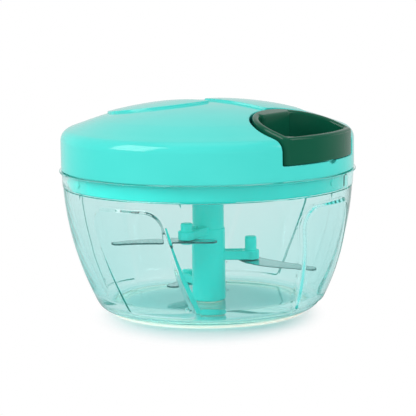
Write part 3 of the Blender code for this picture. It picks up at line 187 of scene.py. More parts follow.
# Blade shaft and blades
SHAFT_LOW = 3.6
SLEEVE_RADIUS = 7.1
SLEEVE_TOP = 33.8
TUBE_RADIUS = 6.7
TUBE_TOP = 46.2
HEX_RADIUS = 5.6
HEX_TOP = 53.8
BLADE_NODES = ("blade_upper", "blade_middle", "blade_lower")
BLADE_LEVELS = (31.0, 19.8, 7.6)
FIRST_ARM = -82.5
ARM_STEP = 120.0
PEG_DISTANCE = 18.0
PEG_RADIUS = 2.5
PEG_HEIGHTS = (7.7, 10.3, 5.5)  # their tops, above the blades
PAD_RADIUS = 3.6
ARM_THICKNESS = 3.5
ARM_BAR = 1.8
ARM_SPREAD = 2.6
BLADE_THICKNESS = 0.6
BLADE_EDGE = 0.12  # thickness left at the cutting edge
BLADE_STEPS = 48
BLADE_TAIL = 10.0
BLADE_REACH = 29.0
BLADE_SWINGS = (0.0, 17.0, 0.0)  # of the three blades, about their pegs
BLADE_START = -76.0
BLADE_END = -32.0
BLADE_TAIL_WIDTH = 6.0
BLADE_MIDDLE_WIDTH = 11.6
BLADE_TIP_WIDTH = 6.4
GRIND_WIDTH = 2.4
EDGE_LINE = 0.55  # the painted dark line of shade along the blade's edges

# Pull cord
CORD_RADIUS = 0.9
CORD_LEVEL = 76.2
CORD_SIDES = 12
WINDING_RADIUS = 20.2
CORD_TURNS = 5.25  # round the reel
CORD_STEPS = 60  # in each turn
CORD_PITCH = 2.25
CORD_BEND = (23.7, 0.0, CORD_LEVEL)
REEL_SHARE_END = 4.6  # along the cord's way off the reel: the part that turns with it
LID_SHARE_START = 8.2  # and where the part that stays in the lid begins

# Studio. The floor's shadow is an oval drawn out towards the camera
SHADOW_SHIFT = 9.0
SHADOW_STRETCH = 1.35
SHADOW_START = 30.0
SHADOW_END = 50.0
STUDIO_DARK = 0.12  # brightness of the camera's side in reflections
STUDIO_PALE = 0.72  # and of the far side
STUDIO_LIGHT = 0.60
LIGHT_DISTANCE = 0.9  # metres
NOISE_SPREAD = (0.3, 0.7)  # the part of a noise's range that is used


# Meshes

def new_object(name, data):
    made = bpy.data.objects.new(name, data)
    bpy.context.scene.collection.objects.link(made)
    return made


class Shape:
    """Parts of one mesh. Each part keeps its own shading, and parts are welded where they meet."""

    def __init__(self):
        self.points = []
        self.normals = []
        self.faces = []
        self.count = 0

    def add(self, points, faces, normals=None):
        points = np.asarray(points, float)
        if normals is None:
            normals = vertex_normals(points, faces)
        self.points.append(points)
        self.normals.append(np.asarray(normals, float))
        self.faces += [tuple(int(i) + self.count for i in face) for face in faces]
        self.count += len(points)

    def spin(self, *profiles, columns, start=0.0, centre=(0.0, 0.0)):
        """Profiles turned about Z, each with its own shading."""
        for profile in profiles:
            self.add(*turned(profile, columns, start, centre))

    def make(self, name, finish, body, replaced, also=None):
        """The mesh as a piece of the scene. A piece without a body is left unattached.

        also is a second finish with a test of the faces' centres that says which of them take it.
        """
        points = np.concatenate(self.points)
        normals = np.concatenate(self.normals)
        _, first, index = np.unique(np.round(points, 4), axis=0, return_index=True, return_inverse=True)
        index = index.reshape(-1)
        faces = []
        corner_normals = []
        for face in self.faces:
            welded = {}
            for corner in face:
                welded.setdefault(int(index[corner]), corner)
            if len(welded) > 2:
                faces.append(list(welded))
                corner_normals += [tuple(normals[corner]) for corner in welded.values()]
        mesh = bpy.data.meshes.new(name)
        mesh.from_pydata((points[first] * MM).tolist(), [], faces)
        mesh.shade_smooth()
        mesh.normals_split_custom_set(corner_normals)
        mesh.materials.append(finish)
        if also:
            mesh.materials.append(also[0])
            centres = np.array([tuple(polygon.center) for polygon in mesh.polygons]) / MM
            mesh.polygons.foreach_set("material_index", also[1](centres).astype(np.int32))
        piece = new_object(name, mesh)
        if body:
            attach(piece, body)
        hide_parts(replaced)
        return piece


def vertex_normals(points, faces):
    """Normals at the points, weighted by the area of the faces round them."""
    total = np.zeros((len(points), 3))
    for size in {len(face) for face in faces}:
        corners = np.array([face for face in faces if len(face) == size])
        spots = points[corners] - points[corners].mean(axis=1, keepdims=True)
        area = np.cross(spots, np.roll(spots, -1, axis=1)).sum(axis=1, keepdims=True)
        np.add.at(total, corners, area)
    return total / np.maximum(np.linalg.norm(total, axis=1, keepdims=True), 1e-12)


def grid_faces(rows, columns, closed=False):
    """Quads between rows of points, which follow one another in one list."""
    faces = []
    for i in range(rows - 1):
        for j in range(columns if closed else columns - 1):
            k = (j + 1) % columns
            faces.append((i * columns + j, i * columns + k, (i + 1) * columns + k, (i + 1) * columns + j))
    return faces


def facing(faces, turned_over):
    return [face[::-1] for face in faces] if turned_over else faces


def polar(radius, turns):
    """Flat points at distances from the middle and turns in radians."""
    return np.column_stack([radius * np.cos(turns), radius * np.sin(turns)])


def full_turn(count):
    return np.arange(count) * math.tau / count


def raised(flat, height):
    """Flat points at a height, or at one height each."""
    return np.column_stack([flat, np.broadcast_to(height, len(flat))])


def flat_turn(degrees):
    return np.array(Matrix.Rotation(math.radians(degrees), 2))


def turned(profile, columns, start=0.0, centre=(0.0, 0.0)):
    """Points and faces of a profile turned about Z. The profile runs with its outside on its right."""
    turns = math.radians(start) + full_turn(columns)
    rows = [raised(polar(r, turns) + centre, z) for r, z in profile]
    return np.concatenate(rows), grid_faces(len(rows), columns, closed=True)


def arc(centre, radius, start, end, count):
    turns = np.radians(np.linspace(start, end, count + 1))
    return [(centre[0] + radius * math.cos(t), centre[1] + radius * math.sin(t)) for t in turns]


def rounded(corners, closed=False, count=4):
    """An outline whose corners (x, y, radius) are rounded by arcs."""
    points = []
    total = len(corners)
    for index, (x, y, radius) in enumerate(corners):
        here = Vector((x, y))
        before = (Vector(corners[index - 1][:2]) - here).normalized()
        after = (Vector(corners[(index + 1) % total][:2]) - here).normalized()
        open_end = not closed and index in (0, total - 1)
        if open_end or radius <= 0.0 or before.dot(after) < -0.9999:
            points.append((x, y))
            continue
        half = before.angle(after) / 2
        centre = here + (before + after).normalized() * radius / math.sin(half)
        first = here + before * radius / math.tan(half) - centre
        last = here + after * radius / math.tan(half) - centre
        sweep = first.angle_signed(last)
        points += [tuple(centre + Matrix.Rotation(-sweep * step / count, 2) @ first)
                   for step in range(count + 1)]
    return points


def runs_along(line):
    """Distance along a line to each of its points."""
    return np.concatenate([[0.0], np.cumsum(np.linalg.norm(np.diff(line, axis=0), axis=1))])


def resampled(points):
    """A closed outline with its points at an even spacing."""
    line = np.vstack([points, points[:1]])
    runs = runs_along(line)
    at = np.linspace(0.0, runs[-1], round(runs[-1] / OUTLINE_SPACING) + 1)[:-1]
    return np.column_stack([np.interp(at, runs, line[:, 0]), np.interp(at, runs, line[:, 1])])


def outward_normals(outline):
    """Unit normals of a closed anticlockwise outline, pointing out of it."""
    along = np.roll(outline, -1, axis=0) - np.roll(outline, 1, axis=0)
    along /= np.linalg.norm(along, axis=1, keepdims=True)
    return np.stack([along[:, 1], -along[:, 0]], axis=1)


def offset(outline, distance):
    return outline + outward_normals(outline) * distance


def inside(points, outline):
    """True for the points that lie within a closed outline."""
    x, y = points[:, 0][:, None], points[:, 1][:, None]
    a, b = outline, np.roll(outline, -1, axis=0)
    crossing = (a[:, 1] > y) != (b[:, 1] > y)
    rise = np.where(b[:, 1] == a[:, 1], 1e-12, b[:, 1] - a[:, 1])
    at = a[:, 0] + (y - a[:, 1]) * (b[:, 0] - a[:, 0]) / rise
    return (np.sum(crossing & (x < at), axis=1) % 2) == 1


def nearest(points, starts, ends):
    """Distance from the points to the nearest of some straight runs."""
    least = np.full(len(points), 1e9)
    for start, end in zip(starts, ends):
        run = end - start
        share = np.clip(((points - start) @ run) / max(run @ run, 1e-12), 0.0, 1.0)
        least = np.minimum(least, np.linalg.norm(points - start - share[:, None] * run, axis=1))
    return least


def depth_inside(points, outline):
    """Distance from the outline, positive inside it."""
    least = nearest(points, outline, np.roll(outline, -1, axis=0))
    return np.where(inside(points, outline), least, -least)


def triangulated(outline, holes, free):
    """Triangles between an outline, holes in it and free points, all flat."""
    edges = []
    total = 0
    for loop in (outline, *holes):
        edges += [(total + i, total + (i + 1) % len(loop)) for i in range(len(loop))]
        total += len(loop)
    points = [Vector(p) for p in np.vstack([outline, *holes, *free])]
    made = delaunay_2d_cdt(points, edges, [], 0, 1e-6)
    flat = np.array([tuple(v) for v in made[0]])
    faces = np.array([f for f in made[2] if len(f) == 3])
    a, b, c = flat[faces[:, 0]], flat[faces[:, 1]], flat[faces[:, 2]]
    area = (b[:, 0] - a[:, 0]) * (c[:, 1] - a[:, 1]) - (b[:, 1] - a[:, 1]) * (c[:, 0] - a[:, 0])
    faces = np.where((area < 0)[:, None], faces[:, ::-1], faces)
    middle = (a + b + c) / 3
    keep = inside(middle, outline) & (np.abs(area) > 1e-9)
    for hole in holes:
        keep &= ~inside(middle, hole)
    return flat, faces[keep]


def surface_normals(placed, flat, step):
    """Normals of a surface at flattened points, from the surface a step either side of them."""
    across = placed(flat + [step, 0.0]) - placed(flat - [step, 0.0])
    along = placed(flat + [0.0, step]) - placed(flat - [0.0, step])
    normals = np.cross(across, along)
    return normals / np.linalg.norm(normals, axis=1, keepdims=True)


def quarter_round(distance, radius):
    """How far an edge rounded by a radius lies below its surface, at a distance in from it."""
    near = np.clip(radius - distance, 0.0, radius)
    return radius - np.sqrt(np.maximum(radius ** 2 - near ** 2, 0.0))


# Materials

def new_material(name):
    made = bpy.data.materials.new(name)
    made.use_nodes = True
    tree = made.node_tree
    return made, tree, tree.nodes["Principled BSDF"]


def fill(tree, made, **values):
    """Set a node's sockets, whose names have _ for each space, or its own properties.

    A value that is a socket is linked.
    """
    for key, value in values.items():
        socket = made.inputs.get(key.replace("_", " "))
        if socket is None:
            setattr(made, key, value)
        elif isinstance(value, bpy.types.NodeSocket):
            tree.links.new(value, socket)
        else:
            socket.default_value = value
    return made


def node(tree, kind, **values):
    return fill(tree, tree.nodes.new("ShaderNode" + kind), **values)


def noise(tree, scale, detail=2.0):
    place = tree.nodes.get("Place") or node(tree, "TexCoord", name="Place")
    return node(tree, "TexNoise", Vector=place.outputs["Object"], Scale=scale,
                Detail=detail).outputs["Fac"]


def ramp(tree, fac, low, high, ends=NOISE_SPREAD):
    made = node(tree, "ValToRGB", Fac=fac)
    for element, end, colour in zip(made.color_ramp.elements, ends, (low, high)):
        element.position = end
        element.color = (*colour, 1.0)
    return made.outputs["Color"]


def mapped(tree, value, before, after, **more):
    """A value mapped from one range to another."""
    return node(tree, "MapRange", Value=value, From_Min=before[0], From_Max=before[1],
                To_Min=after[0], To_Max=after[1], **more).outputs["Result"]


def bumped(tree, fac, distance, strength=1.0):
    return node(tree, "Bump", Height=fac, Strength=strength, Distance=distance).outputs["Normal"]


def mixed_shader(tree, share, first, second):
    made = node(tree, "MixShader", Fac=share)
    tree.links.new(first, made.inputs[1])
    tree.links.new(second, made.inputs[2])
    return made.outputs["Shader"]


def moulded_plastic(name, low, high, rough, sheen):
    """Glossy moulded plastic: faint flow marks in the colour, a very slight ripple in the gloss."""
    made, tree, shader = new_material(name)
    gloss = (rough * 0.85, rough * 1.15)
    fill(tree, shader, Base_Color=ramp(tree, noise(tree, 35.0, 3.0), low, high),
         Roughness=mapped(tree, noise(tree, 260.0), NOISE_SPREAD, gloss),
         Normal=bumped(tree, noise(tree, 900.0, 1.0), 0.000002), IOR=1.49, Specular_IOR_Level=sheen)
    return made


def clear_plastic(name, low, high, deep):
    """Tinted see-through plastic, deeper in colour where light runs far inside it.

    Lamps shine through it, so its shadow is a tint. A painted glow, an emission that stands in for light
    carried inside it, comes out faintly everywhere and strongly at the frosted foot ring.
    """
    made, tree, shader = new_material(name)
    walls = ramp(tree, noise(tree, 25.0), low, high)
    place = tree.nodes["Place"].outputs["Object"]
    height = node(tree, "SeparateXYZ", Vector=place).outputs["Z"]
    share = mapped(tree, height, ((FLOOR_TOP + 0.05) * MM, (FLOOR_TOP + 0.5) * MM), (0.0, 1.0))
    tint = node(tree, "Mix", data_type="RGBA", Factor=share, A=(*deep, 1.0), B=walls)
    # Painted glow: the emission colour runs from the foot ring's strong glow up to the walls' faint one
    rise = mapped(tree, height, (FROST_TOP * MM, (FLOOR_UNDERSIDE - 0.02) * MM), (0.0, 1.0))
    fill(tree, shader, Base_Color=tint.outputs["Result"], IOR=1.47, Emission_Strength=1.0,
         Roughness=mapped(tree, noise(tree, 200.0), NOISE_SPREAD, (0.0, 0.02)),
         Transmission_Weight=mapped(tree, height, (FROST_TOP * MM, FLOOR_UNDERSIDE * MM), (FROST_CLEAR, 1.0)),
         Emission_Color=ramp(tree, rise, FOOT_PAINTED_GLOW, WALL_PAINTED_GLOW, (0.0, 1.0)))
    lamp_side = node(tree, "BsdfTransparent", Color=(0.96, 0.99, 0.99, 1.0))
    path = node(tree, "LightPath")
    depth = node(tree, "VolumeAbsorption", Color=(0.0, 0.88, 0.858, 1.0), Density=60.0)
    surface = mixed_shader(tree, path.outputs["Is Shadow Ray"], shader.outputs["BSDF"],
                           lamp_side.outputs["BSDF"])
    fill(tree, tree.nodes["Material Output"], Surface=surface, Volume=depth.outputs["Volume"])
    return made


def placed_by(tree, **way):
    """Object coordinates moved, turned or stretched."""
    place = node(tree, "TexCoord").outputs["Object"]
    return node(tree, "Mapping", Vector=place, **way).outputs["Vector"]


def brushed_steel(name, low, high, rough):
    """Steel with fine lines of grinding."""
    made, tree, shader = new_material(name)
    lines = node(tree, "TexNoise", Vector=placed_by(tree, Scale=(40.0, 900.0, 900.0)),
                 Scale=1.0, Detail=3.0).outputs["Fac"]
    fill(tree, shader, Base_Color=ramp(tree, lines, low, high), Metallic=1.0,
         Roughness=mapped(tree, lines, NOISE_SPREAD, (rough * 0.7, rough * 1.3)),
         Normal=bumped(tree, lines, 0.00001, 0.4))
    return made


def braided_cord(name, low, high):
    """Twisted nylon: slanting strands as colour and relief."""
    made, tree, shader = new_material(name)
    way = placed_by(tree, Scale=(1600.0, 1600.0, 1600.0), Rotation=(0.6, 0.7, 0.5))
    strands = node(tree, "TexWave", Vector=way, Scale=0.5, Distortion=0.6).outputs["Fac"]
    fill(tree, shader, Base_Color=ramp(tree, strands, low, high), Roughness=0.85,
         Normal=bumped(tree, strands, 0.0001))
    return made


AQUA = moulded_plastic("aqua_gloss_plastic", (0.070, 0.695, 0.625), (0.080, 0.720, 0.650), 0.10, 0.45)
DARK_GREEN = moulded_plastic("dark_green_plastic", (0.004, 0.088, 0.047), (0.006, 0.100, 0.055), 0.16, 0.30)
WHITE = moulded_plastic("white_nylon", (0.74, 0.74, 0.70), (0.80, 0.80, 0.77), 0.42, 0.5)
CLEAR = clear_plastic("clear_green_plastic", (0.90, 0.905, 0.905), (0.92, 0.920, 0.920), (0.71, 0.86, 0.85))
# The parts inside the bowl take a copy of the aqua with painted light: lighter than the lid's aqua, to make
# up for the light the bowl and lid keep from them. Its satin gloss is its own.
INNER_AQUA_PAINTED_LIGHT = moulded_plastic("aqua_satin_plastic_painted_light", (0.042, 0.890, 0.800), (0.050, 0.920, 0.830), 0.22, 0.35)
BLADE_STEEL = brushed_steel("blade_steel", (0.50, 0.56, 0.56), (0.62, 0.68, 0.68), 0.22)
# Painted shade: a dark steel for a thin line along each blade's edges
EDGE_SHADE_STEEL = brushed_steel("painted_edge_shade_steel", (0.05, 0.12, 0.12), (0.09, 0.18, 0.18), 0.3)
PIN_STEEL = brushed_steel("pin_steel", (0.42, 0.43, 0.44), (0.60, 0.61, 0.62), 0.32)
SPRING_STEEL = brushed_steel("spring_steel", (0.20, 0.22, 0.26), (0.32, 0.34, 0.38), 0.3)
CORD_FIBRE = braided_cord("cord_fibre", (0.52, 0.56, 0.54), (0.80, 0.83, 0.81))

NODE_FINISHES = (
    (WHITE, "cord_reel spring_cover drive_coupler cord_guide"),
    (DARK_GREEN, "clutch_disc"),
    (SPRING_STEEL, "return_spring"),
    (PIN_STEEL, "centre_axle axle_screw axle_washer bowl_pivot_pin"
                " lid_screw_1 lid_screw_2 lid_screw_3 lid_screw_4"),
    (CORD_FIBRE, "cord_knot"),
)


def finish_nodes():
    """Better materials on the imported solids, which stay in view where no piece replaces them."""
    for finish, names in NODE_FINISHES:
        for name in names.split():
            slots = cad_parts[name].data.materials
            slots.clear()
            slots.append(finish)


# The lid's form, flattened: a point's distance from the middle is its run down the profile

ACROSS = LID_RADIUS - SHOULDER_RADIUS
SHOULDER_START_ANGLE = math.asin(ACROSS / (DOME_RADIUS - SHOULDER_RADIUS))
SHOULDER_MIDDLE = (LID_APEX - DOME_RADIUS
                   + math.sqrt((DOME_RADIUS - SHOULDER_RADIUS) ** 2 - ACROSS ** 2))
DOME_RUN = DOME_RADIUS * SHOULDER_START_ANGLE
SHOULDER_RUN = DOME_RUN + SHOULDER_RADIUS * (math.pi / 2 - SHOULDER_START_ANGLE)
LID_RUN = SHOULDER_RUN + SHOULDER_MIDDLE - LID_LOW


def lid_profile(run):
    """Distance from the axis, height and slope angle at runs down the lid's profile."""
    run = np.asarray(run, float)
    dome = run / DOME_RADIUS
    bend = np.clip(SHOULDER_START_ANGLE + (run - DOME_RUN) / SHOULDER_RADIUS, 0.0, math.pi / 2)
    slope = np.where(run < DOME_RUN, dome, bend)
    r = np.where(run < DOME_RUN, DOME_RADIUS * np.sin(slope), ACROSS + SHOULDER_RADIUS * np.sin(slope))
    z = np.where(run < DOME_RUN, LID_APEX - DOME_RADIUS + DOME_RADIUS * np.cos(slope),
                 SHOULDER_MIDDLE + SHOULDER_RADIUS * np.cos(slope))
    return r, z - np.maximum(run - SHOULDER_RUN, 0.0), slope


def run_at_radius(r):
    """Run down the profile at a distance from the axis, above the side wall."""
    r = np.asarray(r, float)
    dome = DOME_RADIUS * np.arcsin(np.clip(r / DOME_RADIUS, 0.0, 1.0))
    bend = np.arcsin(np.clip((r - ACROSS) / SHOULDER_RADIUS, 0.0, 1.0))
    return np.where(dome < DOME_RUN, dome, DOME_RUN + (bend - SHOULDER_START_ANGLE) * SHOULDER_RADIUS)


def flat_from_plan(points):
    """Plan points on the dome or shoulder, in the flattened form."""
    points = np.asarray(points, float)
    r = np.maximum(np.linalg.norm(points, axis=1), 1e-9)
    return points * (run_at_radius(r) / r)[:, None]


def flat_from_side(turns, heights):
    """Points on the side wall at angles in degrees and heights, in the flattened form."""
    return polar(SHOULDER_RUN + SHOULDER_MIDDLE - heights, np.radians(turns))


def lid_surface(flat, rise=0.0):
    """Points of the lid's form, moved along its normal by rise."""
    run = np.maximum(np.linalg.norm(flat, axis=1), 1e-9)
    r, z, slope = lid_profile(run)
    out = (r + rise * np.sin(slope)) / run
    return raised(flat * out[:, None], z + rise * np.cos(slope))


def leaf_depth(plan, turn):
    """Distance inside a leaf's outline: a circle cut by a nearly straight inner edge."""
    x, y = (plan @ flat_turn(turn)).T
    middle_x, middle_y = LEAF_MIDDLE
    round_edge = LEAF_RADIUS - np.hypot(x - middle_x, y - middle_y)
    bow_radius = (LEAF_RADIUS ** 2 + LEAF_INNER_SAG ** 2) / (2 * LEAF_INNER_SAG)
    bow_middle = LEAF_INNER_EDGE + LEAF_INNER_SAG - bow_radius
    inner_edge = bow_radius - np.hypot(x - middle_x, y - bow_middle)
    least = np.minimum(round_edge, inner_edge)
    spread = np.exp((least - round_edge) / LEAF_CORNER) + np.exp((least - inner_edge) / LEAF_CORNER)
    return least - LEAF_CORNER * np.log(spread)


def leaf_rise(plan):
    total = np.zeros(len(plan))
    for turn in LEAF_TURNS:
        share = (leaf_depth(plan, turn) + STEP_OUTSIDE) / (STEP_OUTSIDE + STEP_INSIDE)
        share = np.clip(share, 0.0, 1.0)
        total += LEAF_PROUD * share ** 2 * (3 - 2 * share)
    return total


def leaf_row(turn, depth):
    """Plan points along a leaf, at a depth inside its outline."""
    middle = flat_turn(turn) @ (LEAF_MIDDLE[0], LEAF_MIDDLE[1] - LEAF_RADIUS / 3)
    way = polar(1.0, full_turn(LEAF_POINTS))
    near = np.zeros(LEAF_POINTS)
    far = np.full(LEAF_POINTS, 2 * LEAF_RADIUS)
    for _ in range(40):
        half = (near + far) / 2
        deep = leaf_depth(middle + way * half[:, None], turn) > depth
        near, far = np.where(deep, half, near), np.where(deep, far, half)
    return middle + way * near[:, None]


def inner_end(depth, half, turns):
    """The rounded inner end of the pocket, the handle or its opening, in plan."""
    turns = np.radians(turns)
    return np.column_stack([HANDLE_ROUND_START + depth * np.cos(turns), half * np.sin(turns)])


def pocket_plan(grow):
    """The pocket's edge on the dome and shoulder, in plan, from its far side round to its near."""
    half = POCKET_HALF_WIDTH + grow
    bend = inner_end(POCKET_DEPTH + grow, half, np.linspace(90.0, 270.0, 73))
    outer = np.linspace(math.sqrt(LID_RADIUS ** 2 - half ** 2), HANDLE_ROUND_START, 16)[:-1]
    upper = np.column_stack([outer, np.full(15, half)])
    return np.vstack([upper, bend, upper[::-1] * MIRROR])


def pocket_loop(grow, floor, notch):
    """The pocket's whole edge in the flattened form, anticlockwise seen from above."""
    lean = math.degrees(math.asin((POCKET_HALF_WIDTH + grow) / LID_RADIUS))
    top = flat_from_plan(pocket_plan(grow))
    heights = np.linspace(SHOULDER_MIDDLE, floor + POCKET_CORNER, 9)[1:]
    down = flat_from_side(np.full(8, -lean), heights)
    corner = math.degrees(POCKET_CORNER / LID_RADIUS)
    arc_turns = np.radians(np.linspace(180.0, 270.0, 5)[1:])
    bend = flat_from_side(-lean + corner + corner * np.cos(arc_turns),
                          floor + POCKET_CORNER * (1.0 + np.sin(arc_turns)))
    turns = np.linspace(-lean + corner, lean - corner, 97)[1:-1]
    sideways = np.radians(turns - NOTCH_TURN) * LID_RADIUS
    dip = notch * np.clip((NOTCH_HALF - np.abs(sideways)) / (NOTCH_HALF - NOTCH_FOOT), 0.0, 1.0)
    bottom = flat_from_side(turns, floor - dip)
    return np.vstack([top, down, bend, bottom, bend[::-1] * MIRROR, down[::-1] * MIRROR])


def ring(run, count):
    return polar(run, full_turn(count))


def lid_rings(fine):
    """Runs and counts of the rings of points that carry the lid's form."""
    spacing = 2.5 if fine else 6.0
    count = int(DOME_RUN / spacing)
    runs = [DOME_RUN * index / count for index in range(1, count)]
    rings = [(run, max(8, int(math.tau * run / spacing))) for run in runs]
    around = 288 if fine else 144
    bend = np.linspace(DOME_RUN, SHOULDER_RUN, 9 if fine else 5)
    side = np.linspace(SHOULDER_RUN, LID_RUN - EDGE_ROUND, 6 if fine else 3)[1:]
    return rings + [(run, around) for run in (*bend, *side)], around


def lid_skin(shape, fine):
    """The lid's outer skin with leaves and rounded edges, or its plain inner skin."""
    grow = 0.0 if fine else POCKET_WALL
    floor = POCKET_FLOOR - grow
    edge = EDGE_ROUND if fine else 0.0
    near_loop = 1.7 if fine else 0.8
    loop = pocket_loop(grow, floor, NOTCH_DEPTH if fine else 0.0)
    rings, around = lid_rings(fine)
    outer = ring(LID_RUN, around)
    free = [offset(loop, edge * share) for share in ROUND_STEPS[1:]] + [offset(loop, 1.1)] if fine else []
    for group in [np.zeros((1, 2))] + [ring(run, count) for run, count in rings]:
        clear = depth_inside(group, loop) < -near_loop
        for turn in LEAF_TURNS if fine else ():
            deep = leaf_depth(lid_surface(group)[:, :2], turn)
            clear &= (deep < -1.6) | (deep > 1.2)
        free.append(group[clear])
    if fine:
        for turn in LEAF_TURNS:
            for depth in (-0.8, *np.linspace(-STEP_OUTSIDE, STEP_INSIDE, 7), 0.5):
                row = flat_from_plan(leaf_row(turn, depth))
                free.append(row[depth_inside(row, loop) < -near_loop])
        free += [ring(LID_RUN - edge * share, around) for share in ROUND_STEPS[1:-1]]
    flat, faces = triangulated(outer, [loop], free)

    def placed(at):
        if not fine:
            return lid_surface(at, -LID_WALL)
        plan = lid_surface(at)[:, :2]
        crease = (np.linalg.norm(plan, axis=1) - CREASE_FROM) / (CREASE_TO - CREASE_FROM)
        close = np.linalg.norm(at - [50.0, 0.0], axis=1) < 45.0
        away = np.full(len(at), 9.0)
        away[close] = -depth_inside(at[close], loop)
        rise = leaf_rise(plan) - CREASE_DROP * np.clip(crease, 0.0, 1.0)
        rise -= quarter_round(np.maximum(away, 0.0), edge)
        rise -= quarter_round(LID_RUN - np.linalg.norm(at, axis=1), edge)
        return lid_surface(at, rise)

    normals = surface_normals(placed, flat, 0.02)
    shape.add(placed(flat), facing(faces, not fine), normals if fine else -normals)
    return placed(loop), placed(outer), floor


def pocket_inside(shape, edge, floor, flip):
    """Walls and floor of the pocket, down from its edge. The edge runs as pocket_loop makes it."""
    top_count = len(pocket_plan(0.0))
    rim = edge[:top_count]
    bottom = raised(rim[:, :2], floor)
    shape.add(np.vstack([rim, bottom]), facing(grid_faces(2, top_count), not flip))
    base = edge[top_count + 8:-8]
    step = base.copy()
    step[:, :2] *= (LID_RADIUS - LID_WALL) / np.linalg.norm(base[:, :2], axis=1)[:, None]
    level = raised(step[:, :2], floor)
    shape.add(np.vstack([base, step, level]), facing(grid_faces(3, len(base)), flip))
    flat, faces = triangulated(np.vstack([bottom, level])[:, :2], [], [])
    shape.add(raised(flat, floor), facing(faces, flip))


def make_lid():
    shape = Shape()
    edge, outer_low, floor = lid_skin(shape, True)
    pocket_inside(shape, edge, floor, False)
    inner_edge, inner_low, inner_floor = lid_skin(shape, False)
    pocket_inside(shape, inner_edge, inner_floor, True)
    inner_low = np.repeat(inner_low, len(outer_low) // len(inner_low), axis=0)
    shape.add(np.vstack([outer_low, inner_low]), grid_faces(2, len(outer_low), closed=True))
    shape.make("lid_shell", AQUA, "lid_body", "lid_cover")


# The pull handle

def handle_outer():
    """Outer edge of the handle in plan, anticlockwise."""
    corner_y = HANDLE_HALF_WIDTH - HANDLE_CORNER
    corner_x = math.sqrt((HANDLE_RADIUS - HANDLE_CORNER) ** 2 - corner_y ** 2)
    lean = math.degrees(math.atan2(corner_y, corner_x))
    face = arc((0.0, 0.0), HANDLE_RADIUS, -lean, lean, 40)
    upper = np.array(arc((corner_x, corner_y), HANDLE_CORNER, lean, 90.0, 10)[1:])
    bend = inner_end(HANDLE_ROUND_DEPTH, HANDLE_HALF_WIDTH, np.linspace(90.0, 270.0, 61))
    return resampled(np.vstack([face, upper, bend, upper[::-1] * MIRROR]))


def handle_opening():
    """The finger opening in plan, anticlockwise, with the anchor block across its inner end."""
    half = HANDLE_HALF_WIDTH - HANDLE_SIDE_WALL
    bar = HANDLE_RADIUS - HANDLE_BAR
    lean = math.degrees(math.asin(half / bar))
    face = arc((0.0, 0.0), bar, -lean, lean, 36)
    foot_turn = 180.0 - math.degrees(math.asin(ANCHOR_HALF_WIDTH / half))
    upper = inner_end(HANDLE_ROUND_DEPTH - HANDLE_END_WALL, half, np.linspace(90.0, foot_turn, 24))
    corner = rounded(((upper[-1][0], ANCHOR_HALF_WIDTH, 0.0),
                      (ANCHOR_END, ANCHOR_HALF_WIDTH, ANCHOR_CORNER),
                      (ANCHOR_END, -ANCHOR_HALF_WIDTH, 0.0)), count=6)[1:-1]
    side = np.vstack([upper, corner])
    return resampled(np.vstack([face, side, side[::-1] * MIRROR]))


def handle_top(plan, outer, opening):
    """Height of the handle's top: it falls outwards like the dome, nearly straight across."""
    x = np.minimum(np.hypot(plan[:, 0], 0.5 * plan[:, 1]), HANDLE_LEVEL_FROM)
    proud = HANDLE_PROUD * np.clip((HANDLE_LEVEL_FROM - x) / (HANDLE_LEVEL_FROM - POCKET_END), 0.0, 1.0)
    height = lid_profile(run_at_radius(x))[1] - HANDLE_SUNK + proud
    from_outer = np.maximum(depth_inside(plan, outer), 0.0)
    from_opening = np.maximum(-depth_inside(plan, opening), 0.0)
    return height - quarter_round(from_outer, HANDLE_EDGE) - quarter_round(from_opening, HANDLE_EDGE)


def make_handle():
    shape = Shape()
    outer = handle_outer()
    opening = handle_opening()
    steps = np.array(ROUND_STEPS[1:]) * HANDLE_EDGE
    rows = [offset(outer, -step) for step in steps] + [offset(opening, step) for step in steps]
    spread = np.vstack([offset(outer, -(HANDLE_EDGE + 0.7 * k)) for k in range(1, 7)])
    clear = (depth_inside(spread, outer) > 1.5) & (depth_inside(spread, opening) < -1.6)
    flat, faces = triangulated(outer, [opening], [*rows, spread[clear]])

    def placed(at):
        return raised(at, handle_top(at, outer, opening))

    shape.add(placed(flat), faces, surface_normals(placed, flat, 0.02))
    handle_wall(shape, placed(outer), 1.0)
    handle_wall(shape, placed(opening), -1.0)
    flat, faces = triangulated(offset(outer, -EDGE_ROUND), [offset(opening, EDGE_ROUND)], [])
    shape.add(raised(flat, HANDLE_LOW), faces[:, ::-1])
    shape.make("handle_loop", DARK_GREEN, "handle_body", "pull_handle")


def handle_wall(shape, edge, side):
    """A wall of the handle from its top edge down, rounded under at the foot."""
    outline = edge[:, :2]
    out = outward_normals(outline) * side
    rows = [edge]
    normals = [raised(out, 0.0)]
    for turn in np.radians((0.0, 22.5, 45.0, 67.5, 90.0)):
        inward = EDGE_ROUND * (1 - math.cos(turn))
        rows.append(raised(outline - out * inward, HANDLE_LOW + EDGE_ROUND * (1 - math.sin(turn))))
        normals.append(raised(out * math.cos(turn), -math.sin(turn)))
    faces = facing(grid_faces(len(rows), len(edge), closed=True), side > 0)
    shape.add(np.vstack(rows), faces, np.vstack(normals))


# The bowl

def bowl_line(shrink):
    """Profile from the underside up the corner and the side wall, as points (r, z)."""
    corner = arc(CORNER_CENTRE, CORNER_RADIUS - shrink, -90.0, CORNER_END, 12)
    a = Vector(corner[-1])
    b = Vector((BOWL_SHOULDER[0] - shrink, BOWL_SHOULDER[1]))
    half = (b - a) / 2
    right = Vector((half.y, -half.x)).normalized()
    middle = a + half - right * math.sqrt(SIDE_RADIUS ** 2 - half.length ** 2)
    sweep = 2 * math.asin(half.length / SIDE_RADIUS)
    side = [tuple(middle + Matrix.Rotation(sweep * k / 40, 2) @ (a - middle)) for k in range(1, 41)]
    return np.array(corner + side)


